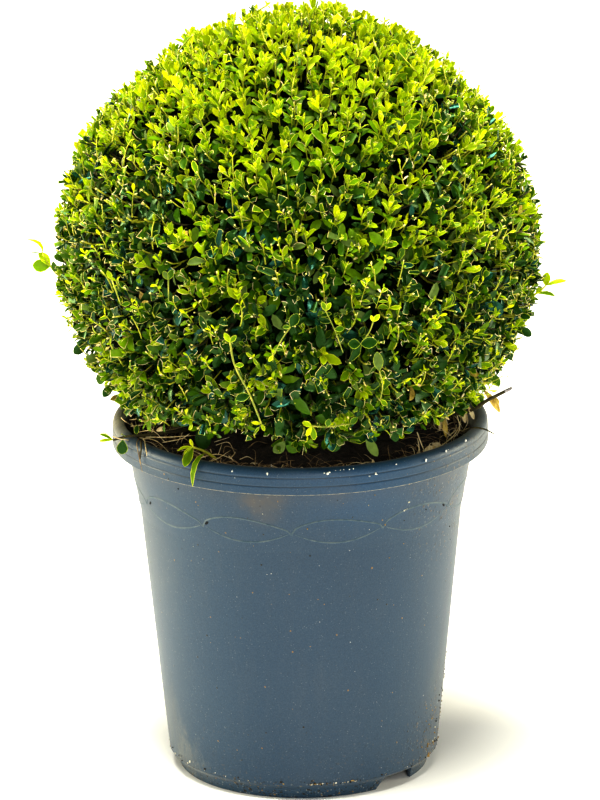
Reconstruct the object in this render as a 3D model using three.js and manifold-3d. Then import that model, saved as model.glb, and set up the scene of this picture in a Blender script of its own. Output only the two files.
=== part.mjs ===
// A box topiary ball in a nursery pot: a dense clipped ball of foliage on a short hidden stem, three stray
// shoots low down beside it, and the potting soil in a tapered plastic pot with a turned-over rim.
// Millimetres, +Z up. The origin is the middle of the pot's flat underside, and the front is towards -Y.
import * as THREE from "three";
import { mergeVertices } from "three/addons/utils/BufferGeometryUtils.js";
import Module from "manifold-3d";

const wasm = await Module();
wasm.setup();

// ---- driving dimensions ----
const clearance = 0.3; // between neighbouring solids
const crumb = 0.05; // the finest feature that a join or cut leaves
const segments = 48; // round the pot and the soil

const pot = {
  height: 281,
  wall: 2,
  floor: 2.2, // thickness
  footRadius: 96, // at the ground
  footHeight: 9,
  stepHeight: 13, // the wall starts here, above a step out from the foot
  stepRadius: 104.5,
  bandHeight: 208, // the wall flares above this height
  bandRadius: 124.3,
  neckHeight: 272, // the wall's top, inside the turned-over rim
  neckRadius: 136.5,
  rimRadius: 145.4,
  rimHeight: 261, // of the rim's lower edge
  panRadius: 62, // the flat middle of the floor that stands on the ground
  gutter: 11.5, // height of the raised ring of the floor round the pan
};

const soil = { level: 268, slope: -0.045, lump: 2.2, padRadius: 24 };

const stem = { height: 36, footRadius: 11, tipRadius: 7.5, flare: 6, lean: 0.05 };

const ball = {
  radius: 186,
  height: 416, // of its middle
  coreRadius: 166,
  underside: 298, // of the core's rim
  hollow: 20, // how far the core's underside domes up round the stem
  lowest: 286, // nothing of the ball hangs lower
  sprays: 104,
  lift: 0.4, // how much the twigs turn up from straight out, less towards the ball's foot
};

const leaf = { length: 33, width: 20, thickness: 1.1, widest: 0.58, fold: 0.16 };
const twig = { radius: 2.9, tipRadius: 0.5, sides: 3, sunk: 14, past: 7 };
const pairOpenings = [0.5, 0.95]; // how far each pair of leaves opens from its twig, in radians
const channels = { around: 1, lift: 2, turn: 4, length: 5, reach: 17 }; // of the seeded numbers

// ---- small helpers ----
const goldenAngle = Math.PI * (3 - Math.sqrt(5));
const up = new THREE.Vector3(0, 0, 1);
const vec = (x, y, z) => new THREE.Vector3(x, y, z);

// A point by its angle from the front, positive to the right, its distance from the axis and its height.
function fromFront(degrees, radius, height) {
  const angle = THREE.MathUtils.degToRad(degrees);
  return vec(radius * Math.sin(angle), -radius * Math.cos(angle), height);
}

// A number from 0 to 1 that depends only on an index and a channel.
function seeded(index, channel) {
  const wave = Math.sin(index * 12.9898 + channel * 78.233) * 43758.5453;
  return wave - Math.floor(wave);
}

function solidOf(geometry) {
  const bare = geometry.index ? geometry.toNonIndexed() : geometry.clone();
  bare.deleteAttribute("normal");
  bare.deleteAttribute("uv");
  const merged = mergeVertices(bare, 1e-4);
  return new wasm.Manifold(
    new wasm.Mesh({
      numProp: 3,
      vertProperties: merged.attributes.position.array,
      triVerts: new Uint32Array(merged.index.array),
    }),
  );
}

// The largest piece of a solid, cleaned of crumbs, so that loose scraps and sealed hollows go.
function onePiece(solid) {
  const pieces = solid.simplify(crumb).decompose();
  return pieces.reduce((a, b) => (b.volume() > a.volume() ? b : a));
}

function geometryOf(solid) {
  const { vertProperties, triVerts, numProp, numVert } = solid.getMesh();
  const places = new Float32Array(numVert * 3);
  for (let i = 0; i < numVert; i++) {
    places.set(vertProperties.subarray(i * numProp, i * numProp + 3), i * 3);
  }
  const made = new THREE.BufferGeometry();
  made.setAttribute("position", new THREE.BufferAttribute(places, 3));
  made.setIndex(new THREE.BufferAttribute(new Uint32Array(triVerts), 1));
  made.computeVertexNormals();
  return made;
}

// A solid turned about Z from a profile of [radius, height] pairs.
function turned(profile, around = segments) {
  const points = profile.map(([radius, height]) => new THREE.Vector2(radius, height));
  return new THREE.LatheGeometry(points, around).rotateX(Math.PI / 2);
}

// A straight tapering limb from one point to another.
function limb(from, to, startRadius, endRadius, sides = twig.sides) {
  const along = to.clone().sub(from);
  const rod = new THREE.CylinderGeometry(endRadius, startRadius, along.length(), sides);
  rod.translate(0, along.length() / 2, 0);
  rod.applyQuaternion(new THREE.Quaternion().setFromUnitVectors(vec(0, 1, 0), along.normalize()));
  return solidOf(rod.translate(from.x, from.y, from.z));
}

// An eight-faced leaf with its root at a point, widest past its middle and folded up a little at its midrib.
function blade(root, direction, face, length = leaf.length, width = leaf.width) {
  const made = new THREE.OctahedronGeometry(1);
  const place = made.attributes.position;
  for (let i = 0; i < place.count; i++) {
    const [x, y, z] = [place.getX(i), place.getY(i), place.getZ(i)];
    const along = Math.abs(x) > 0.5 ? 0.5 + 0.5 * x : leaf.widest;
    const raised = leaf.fold * width * Math.abs(y) + 0.5 * leaf.thickness * z;
    place.setXYZ(i, length * along, 0.5 * width * y, raised);
  }
  const alongLeaf = direction.clone().normalize();
  const across = face.clone().cross(alongLeaf).normalize();
  const above = alongLeaf.clone().cross(across);
  const turn = new THREE.Matrix4().makeBasis(alongLeaf, across, above).setPosition(root);
  return solidOf(made.applyMatrix4(turn));
}

// ---- pot ----
// The wall's outer radius at a height, which widens faster above the band than below it.
function potWall(height) {
  const flared = height > pot.bandHeight;
  const [low, lowRadius] = flared ? [pot.bandHeight, pot.bandRadius] : [pot.stepHeight, pot.stepRadius];
  const [high, highRadius] = flared ? [pot.neckHeight, pot.neckRadius] : [pot.bandHeight, pot.bandRadius];
  return lowRadius + ((highRadius - lowRadius) * (height - low)) / (high - low);
}

function makePot() {
  const { height, wall, floor, footRadius, panRadius, gutter, rimRadius, rimHeight, neckHeight } = pot;
  const gutterTop = gutter + floor;
  const shell = solidOf(
    turned([
      [0, 0],
      [panRadius, 0],
      [panRadius + 6, gutter],
      [footRadius + 1.5, gutter],
      [footRadius - wall, 0],
      [footRadius, 0],
      [footRadius + 4, pot.footHeight],
      [pot.stepRadius, pot.stepHeight],
      [pot.bandRadius, pot.bandHeight],
      [potWall(242), 242],
      [pot.neckRadius, neckHeight],
      [rimRadius - wall - 0.8, neckHeight],
      [rimRadius - wall, rimHeight],
      [rimRadius, rimHeight],
      [rimRadius - 0.4, rimHeight + 7],
      [rimRadius - 1.7, height - 6],
      [rimRadius - 4, height - 1],
      [rimRadius - 6.8, height],
      [pot.neckRadius + 0.3, height - 1.4],
      [potWall(268) - wall, 268],
      [pot.bandRadius - wall, pot.bandHeight],
      [potWall(gutterTop) - wall, gutterTop],
      [panRadius + 5.2, gutterTop],
      [panRadius - 1, floor],
      [0, floor],
    ]),
  );
  return onePiece(shell.subtract(wasm.Manifold.union([...footNotches(), ...drainHoles()])));
}

// Two wide notches let water out from under the pot, one to the right of the front and one opposite.
function footNotches() {
  const [lowWidth, highWidth, depth] = [40, 29, 24];
  const outline = new THREE.Shape([
    new THREE.Vector2(-lowWidth / 2, -1),
    new THREE.Vector2(lowWidth / 2, -1),
    new THREE.Vector2(highWidth / 2, pot.gutter),
    new THREE.Vector2(-highWidth / 2, pot.gutter),
  ]);
  return [47, 227].map((degrees) => {
    const cutter = new THREE.ExtrudeGeometry(outline, { depth, bevelEnabled: false });
    cutter.rotateX(Math.PI / 2).translate(0, -pot.footRadius + depth / 2, 0);
    return solidOf(cutter.rotateZ(THREE.MathUtils.degToRad(degrees)));
  });
}

function drainHoles() {
  const [count, radius, ring] = [8, 6, 83];
  return Array.from({ length: count }, (_, i) => {
    const angle = ((i + 0.5) / count) * 2 * Math.PI;
    const hole = new THREE.CylinderGeometry(radius, radius, 20, 10).rotateX(Math.PI / 2);
    return solidOf(hole.translate(ring * Math.cos(angle), ring * Math.sin(angle), pot.gutter));
  });
}

// ---- soil ----
function soilTop(x, y) {
  const far = Math.max(0, Math.hypot(x, y) - soil.padRadius);
  const fade = Math.min(1, far / 30);
  const lumps = Math.sin(x * 0.061 + 1.3) * Math.cos(y * 0.073) + 0.5 * Math.sin(x * 0.13 - y * 0.11);
  return soil.level + fade * (soil.slope * x + soil.lump * lumps);
}

function makeSoil(hole) {
  const floor = pot.floor + clearance;
  const gutterTop = pot.gutter + pot.floor + clearance;
  const inside = (height) => potWall(height) - pot.wall - clearance;
  const topRings = [122, 102, 82, 62, 42, soil.padRadius];
  const body = turned([
    [0, floor],
    [pot.panRadius - 1.5, floor],
    [pot.panRadius + 4.7, gutterTop],
    [inside(gutterTop) - 0.1, gutterTop],
    [inside(pot.bandHeight), pot.bandHeight],
    [inside(soil.level - 12), soil.level - 12],
    [inside(soil.level), soil.level],
    ...topRings.map((radius) => [radius, soil.level]),
    [0, soil.level],
  ]);
  const place = body.attributes.position;
  for (let i = 0; i < place.count; i++) {
    const [x, y] = [place.getX(i), place.getY(i)];
    if (place.getZ(i) > soil.level - 1) {
      const height = soilTop(x, y);
      const radius = Math.hypot(x, y);
      const atWall = radius > topRings[0] + 1 ? inside(height) / radius : 1;
      place.setXYZ(i, x * atWall, y * atWall, height);
    }
  }
  return onePiece(solidOf(body).subtract(hole));
}

// ---- stem ----
// Cut flat at the soil, with a lobed root flare, leaning a little towards its tip.
function makeStem() {
  const { height, footRadius, tipRadius, flare, lean } = stem;
  const made = turned(
    [
      [0, 0],
      [footRadius + flare, 0],
      [footRadius + 0.35 * flare, 4],
      [footRadius, 10],
      [(footRadius + tipRadius) / 2, 22],
      [tipRadius, height],
      [0, height],
    ],
    15,
  );
  const place = made.attributes.position;
  for (let i = 0; i < place.count; i++) {
    const [x, y, z] = [place.getX(i), place.getY(i), place.getZ(i)];
    const lobe = 1 + 0.12 * Math.cos(5 * Math.atan2(y, x)) * Math.max(0, 1 - z / 12);
    place.setXYZ(i, x * lobe + lean * z, y * lobe, z);
  }
  return solidOf(made.translate(0, 0, soil.level + clearance));
}

const stemTip = vec(stem.lean * stem.height, 0, soil.level + clearance + stem.height);

// ---- low shoots ----
// A point just clear of the stem's bark.
function besideStem(degrees, height) {
  const leaning = stem.lean * (height - soil.level);
  return fromFront(degrees, stem.footRadius, height).add(vec(leaning, 0, 0));
}

// Each shoot has its limb as a line of points with radii, and its leaves as [root, direction, length, width].
const leftTip = fromFront(-68, 152, 287);
const frontTip = fromFront(-36.5, 139, 292);
const rightTip = fromFront(86, 164, 304);
const shoots = {
  low_shoot_left: {
    points: [besideStem(-66, 281), fromFront(-66, 80, 280.6), fromFront(-66, 136, 284), leftTip],
    radii: [1.9, 1.7, 1.4, 0.9],
    leaves: [
      [leftTip, vec(-0.9, -0.1, 0.5), 15, 7],
      [leftTip, vec(-1, -0.2, -0.1), 14, 7],
      [fromFront(-67.5, 148, 286.4), vec(-0.4, -0.4, -0.9), 15, 8],
      [fromFront(-66.5, 141, 285), vec(-0.25, -0.45, -1), 17, 12],
      [fromFront(-66, 138, 284.4), vec(0.1, 0.1, 1), 13, 9],
    ],
  },
  low_shoot_front: {
    points: [fromFront(-37.5, 101, 264), fromFront(-37.3, 110, 274), fromFront(-36.6, 130, 287), frontTip],
    radii: [1.6, 1.5, 1.3, 0.8],
    leaves: [
      [frontTip, vec(-0.5, -0.6, 0.5), 15, 8],
      [fromFront(-36.5, 138, 291.4), vec(-0.9, 0.1, 0.3), 14, 8],
      [fromFront(-36.5, 134, 289.4), vec(-0.45, -0.9, -0.6), 18, 11],
      [fromFront(-36.6, 130, 287), vec(0.1, -1, 0.15), 26, 8],
      [fromFront(-36.8, 125, 283.5), vec(0.9, -0.3, 0.4), 16, 9],
    ],
  },
  bare_twig_right: {
    points: [besideStem(88, 281), fromFront(87, 80, 279.5), fromFront(86, 127, 283.6), rightTip],
    radii: [2.1, 1.9, 1.7, 1.3],
    leaves: [
      [fromFront(86, 153, 298), vec(0.3, -0.2, -1), 17, 6],
      [fromFront(86, 154, 298.6), vec(-0.6, 0.1, 0.8), 14, 6],
    ],
  },
};

// Limbs end to end through a line of points, each run a little past its end so that they join.
function limbAlong(points, radii, sides) {
  return points.slice(1).map((end, i) => {
    const past = end.clone().lerp(points[i], -0.02);
    return limb(points[i], past, radii[i], radii[i + 1], sides);
  });
}

function makeShoot({ points, radii, leaves }) {
  const parts = limbAlong(points, radii, 5);
  for (const [root, direction, length, width] of leaves) {
    const face = Math.abs(direction.z) > 0.85 ? vec(root.x, root.y, 0).normalize() : up;
    const sunk = root.clone().addScaledVector(direction, -1.3);
    parts.push(blade(sunk, direction, face, length, width));
  }
  return onePiece(wasm.Manifold.union(parts));
}

// The front shoot's foot stands in the soil, in a hole with room all round it.
function footHole({ points, radii }) {
  const room = clearance + 0.1;
  const below = points[0].clone().lerp(points[1], -0.03);
  return limb(below, points[1], radii[0] + room, radii[1] + room, 5);
}

function nearShoot(point, room) {
  return Object.values(shoots).some(({ points }) =>
    points.slice(1).some((end, i) => {
      const nearest = new THREE.Line3(points[i], end).closestPointToPoint(point, true, vec(0, 0, 0));
      return nearest.distanceTo(point) < room;
    }),
  );
}

// ---- foliage ball ----
const middle = vec(0, 0, ball.height);

// The core fills the ball behind its leaves, and domes up underneath over the bare stem.
function makeCore() {
  const { coreRadius, underside, hollow, height } = ball;
  const lowest = Math.asin((underside - height) / coreRadius);
  const steps = 15;
  const arc = Array.from({ length: steps }, (_, i) => {
    const angle = lowest + ((Math.PI / 2 - lowest) * i) / steps;
    return [coreRadius * Math.cos(angle), height + coreRadius * Math.sin(angle)];
  });
  const rim = arc[0][0];
  const underneath = [
    [0, underside + hollow],
    [0.5 * rim, underside + 0.7 * hollow],
  ];
  return solidOf(turned([...underneath, ...arc, [0, height + coreRadius]], 32));
}

// The ball's own stem goes on from the tip of the one that stands in the soil.
function ownStem() {
  const foot = stemTip.clone().addScaledVector(up, clearance);
  const head = vec(foot.x, foot.y, ball.underside + ball.hollow + 20);
  return limb(foot, head, stem.tipRadius, stem.tipRadius - 1, 10);
}

// Where spray number i leaves the core: points spaced evenly round the ball by the golden angle.
function sprayDirection(i) {
  const lowestRise = (ball.lowest + 2 - ball.height) / ball.radius;
  const rise = 1 - ((i + 0.5) / ball.sprays) * (1 - lowestRise);
  const around = i * goldenAngle + 0.3 * (seeded(i, channels.around) - 0.5);
  const level = Math.sqrt(1 - rise * rise);
  return vec(level * Math.cos(around), level * Math.sin(around), rise);
}

function staysInside(point, reach) {
  return point.distanceTo(middle) < reach && point.z > ball.lowest && !nearShoot(point, 7);
}

// A twig with leaves in opposite pairs, each pair turned a quarter from the last. A leaf that would leave the
// ball or touch a shoot is skipped.
function spray(i) {
  const outward = sprayDirection(i);
  const lift = ball.lift * (1 + outward.z) * (0.6 + 0.8 * seeded(i, channels.lift));
  const heading = outward.clone().addScaledVector(up, lift).normalize();
  const reach = ball.radius * (0.998 + 0.024 * seeded(i, channels.reach));
  const foot = middle.clone().addScaledVector(outward, ball.coreRadius - twig.sunk);
  const tip = middle.clone().addScaledVector(outward, reach - 0.88 * leaf.length);
  const parts = [limb(foot, tip.clone().addScaledVector(heading, twig.past), twig.radius, twig.tipRadius)];
  const side = heading.clone().cross(vec(0.31, 0.17, 0.93)).normalize();
  const other = heading.clone().cross(side);
  pairOpenings.forEach((open, pair) => {
    for (const half of [0, 1]) {
      const turn = 2 * Math.PI * seeded(i, channels.turn) + (pair * Math.PI) / 2 + half * Math.PI;
      const out = side.clone().multiplyScalar(Math.cos(turn)).addScaledVector(other, Math.sin(turn));
      const direction = heading.clone().multiplyScalar(Math.cos(open)).addScaledVector(out, Math.sin(open));
      const length = leaf.length * (0.9 + 0.2 * seeded(i, channels.length + pair + 2 * half));
      const end = tip.clone().addScaledVector(direction, length);
      if (staysInside(end, reach + 3)) parts.push(blade(tip, direction, heading, length));
    }
  });
  return parts;
}

// Two sprigs that the shears missed stand out of the ball's sides, each with small leaves in pairs.
const missedSprigs = [
  { degrees: 90, height: 386, tip: 198, rise: 3, pairs: 3 },
  { degrees: -90, height: 396, tip: 197, rise: 12, pairs: 3 },
];

function missedSprig({ degrees, height, tip, rise, pairs }) {
  const foot = fromFront(degrees, ball.coreRadius - 22, height - 4);
  const end = fromFront(degrees, tip, height + rise);
  const heading = end.clone().sub(foot).normalize();
  const parts = [limb(foot, end, 1.6, 0.8, 4)];
  const side = heading.clone().cross(up).normalize();
  for (let pair = 0; pair < pairs; pair++) {
    const root = end.clone().addScaledVector(heading, -0.5 - 7 * pair);
    const across = pair % 2 ? heading.clone().cross(side) : side;
    for (const half of [-1, 1]) {
      const direction = heading.clone().addScaledVector(across, half * (0.9 + 0.3 * pair));
      parts.push(blade(root, direction, heading, 13 + pair, 7.5));
    }
  }
  return parts;
}

function makeBall() {
  const sprays = Array.from({ length: ball.sprays }, (_, i) => spray(i));
  const sprigs = missedSprigs.map(missedSprig);
  return onePiece(wasm.Manifold.union([makeCore(), ownStem(), ...sprays.flat(), ...sprigs.flat()]));
}

// ---- assembly ----
const materials = {
  plastic: new THREE.MeshStandardMaterial({ color: 0x4b6373, roughness: 0.5, metalness: 0 }),
  soil: new THREE.MeshStandardMaterial({ color: 0x1c1611, roughness: 1, metalness: 0 }),
  bark: new THREE.MeshStandardMaterial({ color: 0x8a7a55, roughness: 0.9, metalness: 0 }),
  foliage: new THREE.MeshStandardMaterial({ color: 0x6f9a1c, roughness: 0.45, metalness: 0 }),
};

const root = new THREE.Group();
function addNode(name, solid, material) {
  const mesh = new THREE.Mesh(geometryOf(solid), material);
  mesh.name = name;
  root.add(mesh);
}

addNode("pot", makePot(), materials.plastic);
addNode("soil", makeSoil(footHole(shoots.low_shoot_front)), materials.soil);
addNode("stem", makeStem(), materials.bark);
for (const [name, shoot] of Object.entries(shoots)) addNode(name, makeShoot(shoot), materials.foliage);
addNode("foliage_ball", makeBall(), materials.foliage);

export default root;
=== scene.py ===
import math

import bpy
import numpy as np
from mathutils import Euler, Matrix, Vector


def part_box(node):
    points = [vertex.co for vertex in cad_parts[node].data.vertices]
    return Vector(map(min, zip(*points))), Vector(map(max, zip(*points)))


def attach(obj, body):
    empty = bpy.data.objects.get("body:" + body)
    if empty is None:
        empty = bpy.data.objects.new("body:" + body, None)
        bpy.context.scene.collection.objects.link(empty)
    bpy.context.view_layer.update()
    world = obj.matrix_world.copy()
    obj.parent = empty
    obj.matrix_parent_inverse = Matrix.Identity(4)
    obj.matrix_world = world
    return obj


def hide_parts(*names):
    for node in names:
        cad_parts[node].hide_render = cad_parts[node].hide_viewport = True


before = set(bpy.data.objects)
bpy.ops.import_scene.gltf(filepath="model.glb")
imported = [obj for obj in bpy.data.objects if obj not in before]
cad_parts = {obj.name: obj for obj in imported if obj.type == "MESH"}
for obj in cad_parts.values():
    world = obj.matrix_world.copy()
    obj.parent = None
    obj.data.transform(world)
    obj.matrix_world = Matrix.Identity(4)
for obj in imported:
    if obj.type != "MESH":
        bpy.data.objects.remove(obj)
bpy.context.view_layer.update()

mm = 0.001
up = np.array([0.0, 0.0, 1.0])
goldenAngle = math.pi * (3 - math.sqrt(5))
dice = np.random.default_rng(4127)  # one seeded source of chance for the whole plant


def unit(v):
    return v / np.maximum(np.linalg.norm(v, axis=-1, keepdims=True), 1e-9)


def fromFront(degrees, radius, height):  # angle from the front, positive to the right, all in mm
    angle = math.radians(degrees)
    return np.array([radius * math.sin(angle), -radius * math.cos(angle), height]) * mm


def direction(rise, angle):  # on a ball of radius 1
    level = np.sqrt(1 - rise * rise)
    return np.stack([level * np.cos(angle), level * np.sin(angle), rise], axis=-1)


def circle(count):  # evenly spaced angles
    return np.arange(count) / count * 2 * math.pi


def anyAngle(count):
    return dice.random(count) * 2 * math.pi


def jitter(*shape):  # chance from -0.5 to 0.5
    return dice.random(shape) - 0.5


def between(bounds, count, power=1):  # chance between two values, nearer the first if the power is above 1
    low, high = bounds
    return low + (high - low) * dice.random(count) ** power


def acrossFrom(heading, aside):  # two directions square to a heading and to each other
    side = unit(np.cross(heading, np.array(aside)))
    return side, np.cross(heading, side)


def seeded(index, channel):  # the same number for the same spray every time
    wave = np.sin(index * 12.9898 + channel * 78.233) * 43758.5453
    return wave - np.floor(wave)


def lumps(points, size, seed=0):  # smooth noise from -1 to 1 whose bumps are about size across
    cell = points / size + seed * 17.31
    base = np.floor(cell)
    part = cell - base
    part = part * part * (3 - 2 * part)
    total = np.zeros(len(points))
    for corner in np.ndindex(2, 2, 2):
        at = base + corner
        value = np.sin(at @ np.array([127.1, 311.7, 74.7])) * 43758.5453
        weight = np.prod(np.where(corner, part, 1 - part), axis=1)
        total += weight * (2 * (value - np.floor(value)) - 1)
    return total


def swing(first, second, angle):  # from one direction towards another
    return first * np.cos(angle)[:, None] + second * np.sin(angle)[:, None]


def addObject(name, data):
    made = bpy.data.objects.new(name, data)
    bpy.context.scene.collection.objects.link(made)
    return made


# a shape is a pair of points in metres and faces; a skin is a finish's name, or several finishes
def makePiece(name, shape, skin, finishOf=None, smooth=True):
    points = np.asarray(shape[0], dtype=np.float32)
    faces = np.asarray(shape[1], dtype=np.int32)
    mesh = bpy.data.meshes.new(name)
    mesh.vertices.add(len(points))
    mesh.vertices.foreach_set("co", points.ravel())
    mesh.loops.add(faces.size)
    mesh.loops.foreach_set("vertex_index", faces.ravel())
    mesh.polygons.add(len(faces))
    mesh.polygons.foreach_set("loop_start", np.arange(0, faces.size, faces.shape[1], dtype=np.int32))
    for finish in [finishes[skin]] if isinstance(skin, str) else skin:
        mesh.materials.append(finish)
    if finishOf is not None:
        mesh.polygons.foreach_set("material_index", np.asarray(finishOf, dtype=np.int32))
    mesh.polygons.foreach_set("use_smooth", np.full(len(faces), smooth))
    mesh.update(calc_edges=True)
    mesh.validate()
    piece = addObject(name, mesh)
    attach(piece, "root")
    return piece


def join(shapes):  # several shapes as one
    starts = np.cumsum([0] + [len(points) for points, _ in shapes])
    faces = [faces + start for (_, faces), start in zip(shapes, starts)]
    return np.concatenate([points for points, _ in shapes]), np.concatenate(faces)


def wallFaces(rings, around, closed):  # four-sided faces between rings of points
    row = np.arange(rings if closed else rings - 1)[:, None]
    low, high = row * around, (row + 1) % rings * around
    here = np.arange(around)[None]
    there = (here + 1) % around
    return np.stack([low + here, low + there, high + there, high + here], axis=-1).reshape(-1, 4)


def capFaces(around):  # a fan that closes one ring
    corner = np.arange(1, around - 1)
    return np.stack([0 * corner, corner, corner + 1], axis=-1)


def lathe(profile, around):  # a closed profile of (radius, height) in mm, turned about Z
    ring = np.asarray(profile) * mm
    x = ring[:, 0, None] * np.sin(circle(around))
    y = -ring[:, 0, None] * np.cos(circle(around))
    z = np.repeat(ring[:, 1, None], around, axis=1)
    return np.stack([x, y, z], axis=-1).reshape(-1, 3), wallFaces(len(ring), around, True)


def tubes(paths, radii, sides):  # many limbs at once: paths (n, k, 3), radii (n, k), as triangles
    count, rings, _ = paths.shape
    along = unit(np.gradient(paths, axis=1))
    chord = unit(paths[:, -1] - paths[:, 0])
    level = np.cross(chord, np.where(np.abs(chord[:, 2:]) > 0.8, [[1.0, 0.0, 0.0]], [[0.0, 0.0, 1.0]]))
    side = unit(level)[:, None, :] * np.ones((1, rings, 1))
    other = unit(np.cross(along, side))
    side = np.cross(other, along)
    spread = swing(side[:, :, None], other[:, :, None], circle(sides))
    points = paths[:, :, None] + spread * radii[:, :, None, None]
    wall, cap = wallFaces(rings, sides, False), capFaces(sides)
    ends = [cap[:, [0, 2, 1]], cap + (rings - 1) * sides]
    one = np.concatenate([wall[:, [0, 1, 2]], wall[:, [0, 2, 3]], *ends])
    faces = one[None] + (np.arange(count) * rings * sides)[:, None, None]
    return points.reshape(-1, 3), faces.reshape(-1, 3)


def taper(first, last, steps, count):  # the radii of limbs that grow thinner, from mm
    return np.linspace(first, last, steps)[None] * mm * np.ones((count, 1))


def curve(start, control, end, t):
    return (1 - t) ** 2 * start + 2 * t * (1 - t) * control + t**2 * end


def bend(start, control, end, steps):  # many curves at once
    return curve(start[:, None], control[:, None], end[:, None], np.linspace(0, 1, steps)[None, :, None])


def smoothPath(points, steps):  # a rounded line through a few points
    points = np.asarray(points, dtype=float)
    ends = np.vstack([2 * points[0] - points[1], points, 2 * points[-1] - points[-2]])
    path = []
    for a, b, c, d in zip(ends, ends[1:], ends[2:], ends[3:]):
        for t in np.linspace(0, 1, steps, endpoint=False):
            squared = (2 * a - 5 * b + 4 * c - d) * t**2
            cubed = (3 * b - a - 3 * c + d) * t**3
            path.append(0.5 * (2 * b + (c - a) * t + squared + cubed))
    return np.array(path + [points[-1]])


def limb(points, radii, sides=7, steps=5):  # one stem through points in metres, radii in mm
    path = smoothPath(points, steps)
    size = np.interp(np.linspace(0, 1, len(path)), np.linspace(0, 1, len(radii)), radii) * mm
    return tubes(path[None], size[None], sides)


def plug(tree, value, socket):
    if isinstance(value, Shade):
        tree.links.new(value.socket, socket)
    elif socket.type == "RGBA" and not isinstance(value, (int, float)):
        socket.default_value = (*value[:3], 1)
    else:
        socket.default_value = value


class Shade:  # a socket that takes Python's operators
    def __init__(self, tree, socket=None):
        self.tree = tree
        self.socket = socket

    def node(self, kind, settings=None, inputs=None, output=0):
        made = self.tree.nodes.new(kind)
        for key, value in (settings or {}).items():
            setattr(made, key, value)
        for key, value in (inputs or {}).items():
            plug(self.tree, value, made.inputs[key])
        return Shade(self.tree, made.outputs[output] if made.outputs else None)

    def combine(self, operation, first, second):
        if self.socket.type == "VALUE":
            return self.node("ShaderNodeMath", {"operation": operation}, {0: first, 1: second})
        first, second = [(v, v, v) if isinstance(v, (int, float)) else v for v in (first, second)]
        if self.socket.type == "VECTOR":
            return self.node("ShaderNodeVectorMath", {"operation": operation}, {0: first, 1: second})
        settings = {"data_type": "RGBA", "blend_type": operation}
        return self.node("ShaderNodeMix", settings, {0: 1.0, 6: first, 7: second}, 2)

    def __add__(self, other):
        return self.combine("ADD", self, other)

    def __radd__(self, other):
        return self.combine("ADD", other, self)

    def __sub__(self, other):
        return self.combine("SUBTRACT", self, other)

    def __rsub__(self, other):
        return self.combine("SUBTRACT", other, self)

    def __mul__(self, other):
        return self.combine("MULTIPLY", self, other)

    def __rmul__(self, other):
        return self.combine("MULTIPLY", other, self)

    def above(self, edge, blur):  # 0 below the edge, 1 above it
        settings = {"interpolation_type": "SMOOTHSTEP"}
        return self.node("ShaderNodeMapRange", settings, {0: self, 1: edge - blur, 2: edge + blur})

    def below(self, edge, blur):
        return 1 - self.above(edge, blur)

    def pick(self, off, on):  # from one colour to another by this value
        settings = {"data_type": "RGBA", "clamp_factor": True}
        return self.node("ShaderNodeMix", settings, {0: self, 6: off, 7: on}, 2)

    def noise(self, scale, detail=2.0, roughness=0.5):
        inputs = {"Vector": self, "Scale": scale, "Detail": detail, "Roughness": roughness}
        return self.node("ShaderNodeTexNoise", None, inputs)

    def cells(self, scale, output="Distance"):
        return self.node("ShaderNodeTexVoronoi", None, {"Vector": self, "Scale": scale}, output)

    def size(self):
        return self.node("ShaderNodeVectorMath", {"operation": "LENGTH"}, {0: self}, "Value")

    def axis(self, name):
        return self.node("ShaderNodeSeparateXYZ", None, {0: self}, name)


def newFinish(name):
    finish = bpy.data.materials.new(name)
    finish.use_nodes = True
    finish.node_tree.nodes.clear()
    return finish, Shade(finish.node_tree)


def ownSpace(tools):  # where on the piece a point lies, in metres
    return tools.node("ShaderNodeTexCoord", None, None, "Object")


def finishWith(tools, inputs, bump=None, bumpSize=0.0, through=None, throughShare=0.0):
    if bump is not None:
        settings = {"Height": bump, "Distance": bumpSize, "Strength": 1.0}
        inputs["Normal"] = tools.node("ShaderNodeBump", None, settings)
    surface = tools.node("ShaderNodeBsdfPrincipled", None, inputs)
    if through is not None:
        behind = tools.node("ShaderNodeBsdfTranslucent", None, {"Color": through})
        surface = tools.node("ShaderNodeMixShader", None, {0: throughShare, 1: surface, 2: behind})
    tools.node("ShaderNodeOutputMaterial", None, {"Surface": surface})


potShape = {
    "around": 288,
    "wall": 2.0,
    "floor": 2.2,
    "foot": (96.0, 9.0),  # radius at the ground, and height of its sloping edge
    "step": (104.5, 13.0),
    "band": (124.3, 208.0),
    "neck": (136.5, 272.0),
    "rimDrop": 20.0,  # the turned-over rim's depth
    "grooves": (6.6, 13.3),  # above the rim's lower edge
    "grooveDepth": 0.55,
    "pan": 62.0,
    "gutter": 11.5,
    "notchAngles": (47, 227),
    "notchWidths": (40, 29),
    "drains": {"count": 8, "reach": 83, "radius": 6, "sides": 16},
    "innerDustAndLightAbove": 240,  # on the inside, where the soil leaves the wall bare: dust, and painted light where the ball shades the wall
    "innerDustAndLightWithin": 136.6,
}
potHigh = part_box("pot")[1]  # its highest corner
rimRadius = potHigh[0] / mm
potHeight = potHigh[2] / mm

plastic = {  # colours of the moulded wall, of what lies on it, and of painted light and shade
    "deep": (0.0074, 0.0385, 0.0835),
    "light": (0.0111, 0.044, 0.0905),
    # painted highlight on the rim
    "rimHighlight": (0.007, 0.058, 0.135),
    "foot": (0.005, 0.042, 0.09),
    "dust": (0.2, 0.17, 0.13),
    "grain": (0.16, 0.19, 0.19),
    "mottle": (0.005, 0.02, 0.045),
    "soiled": (0.082, 0.073, 0.066),
    # pale dust, and painted light on the rim and the wall's edges
    "paleDustAndLight": (0.27, 0.26, 0.21),
    "paleSpeck": (0.42, 0.42, 0.38),
    "tanSpeck": (0.2, 0.12, 0.035),
    "darkSpeck": (0.008, 0.007, 0.006),
    # painted shade for the grooves, and the colour of dark scratches
    "groove": (0.006, 0.014, 0.024),
}

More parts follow.
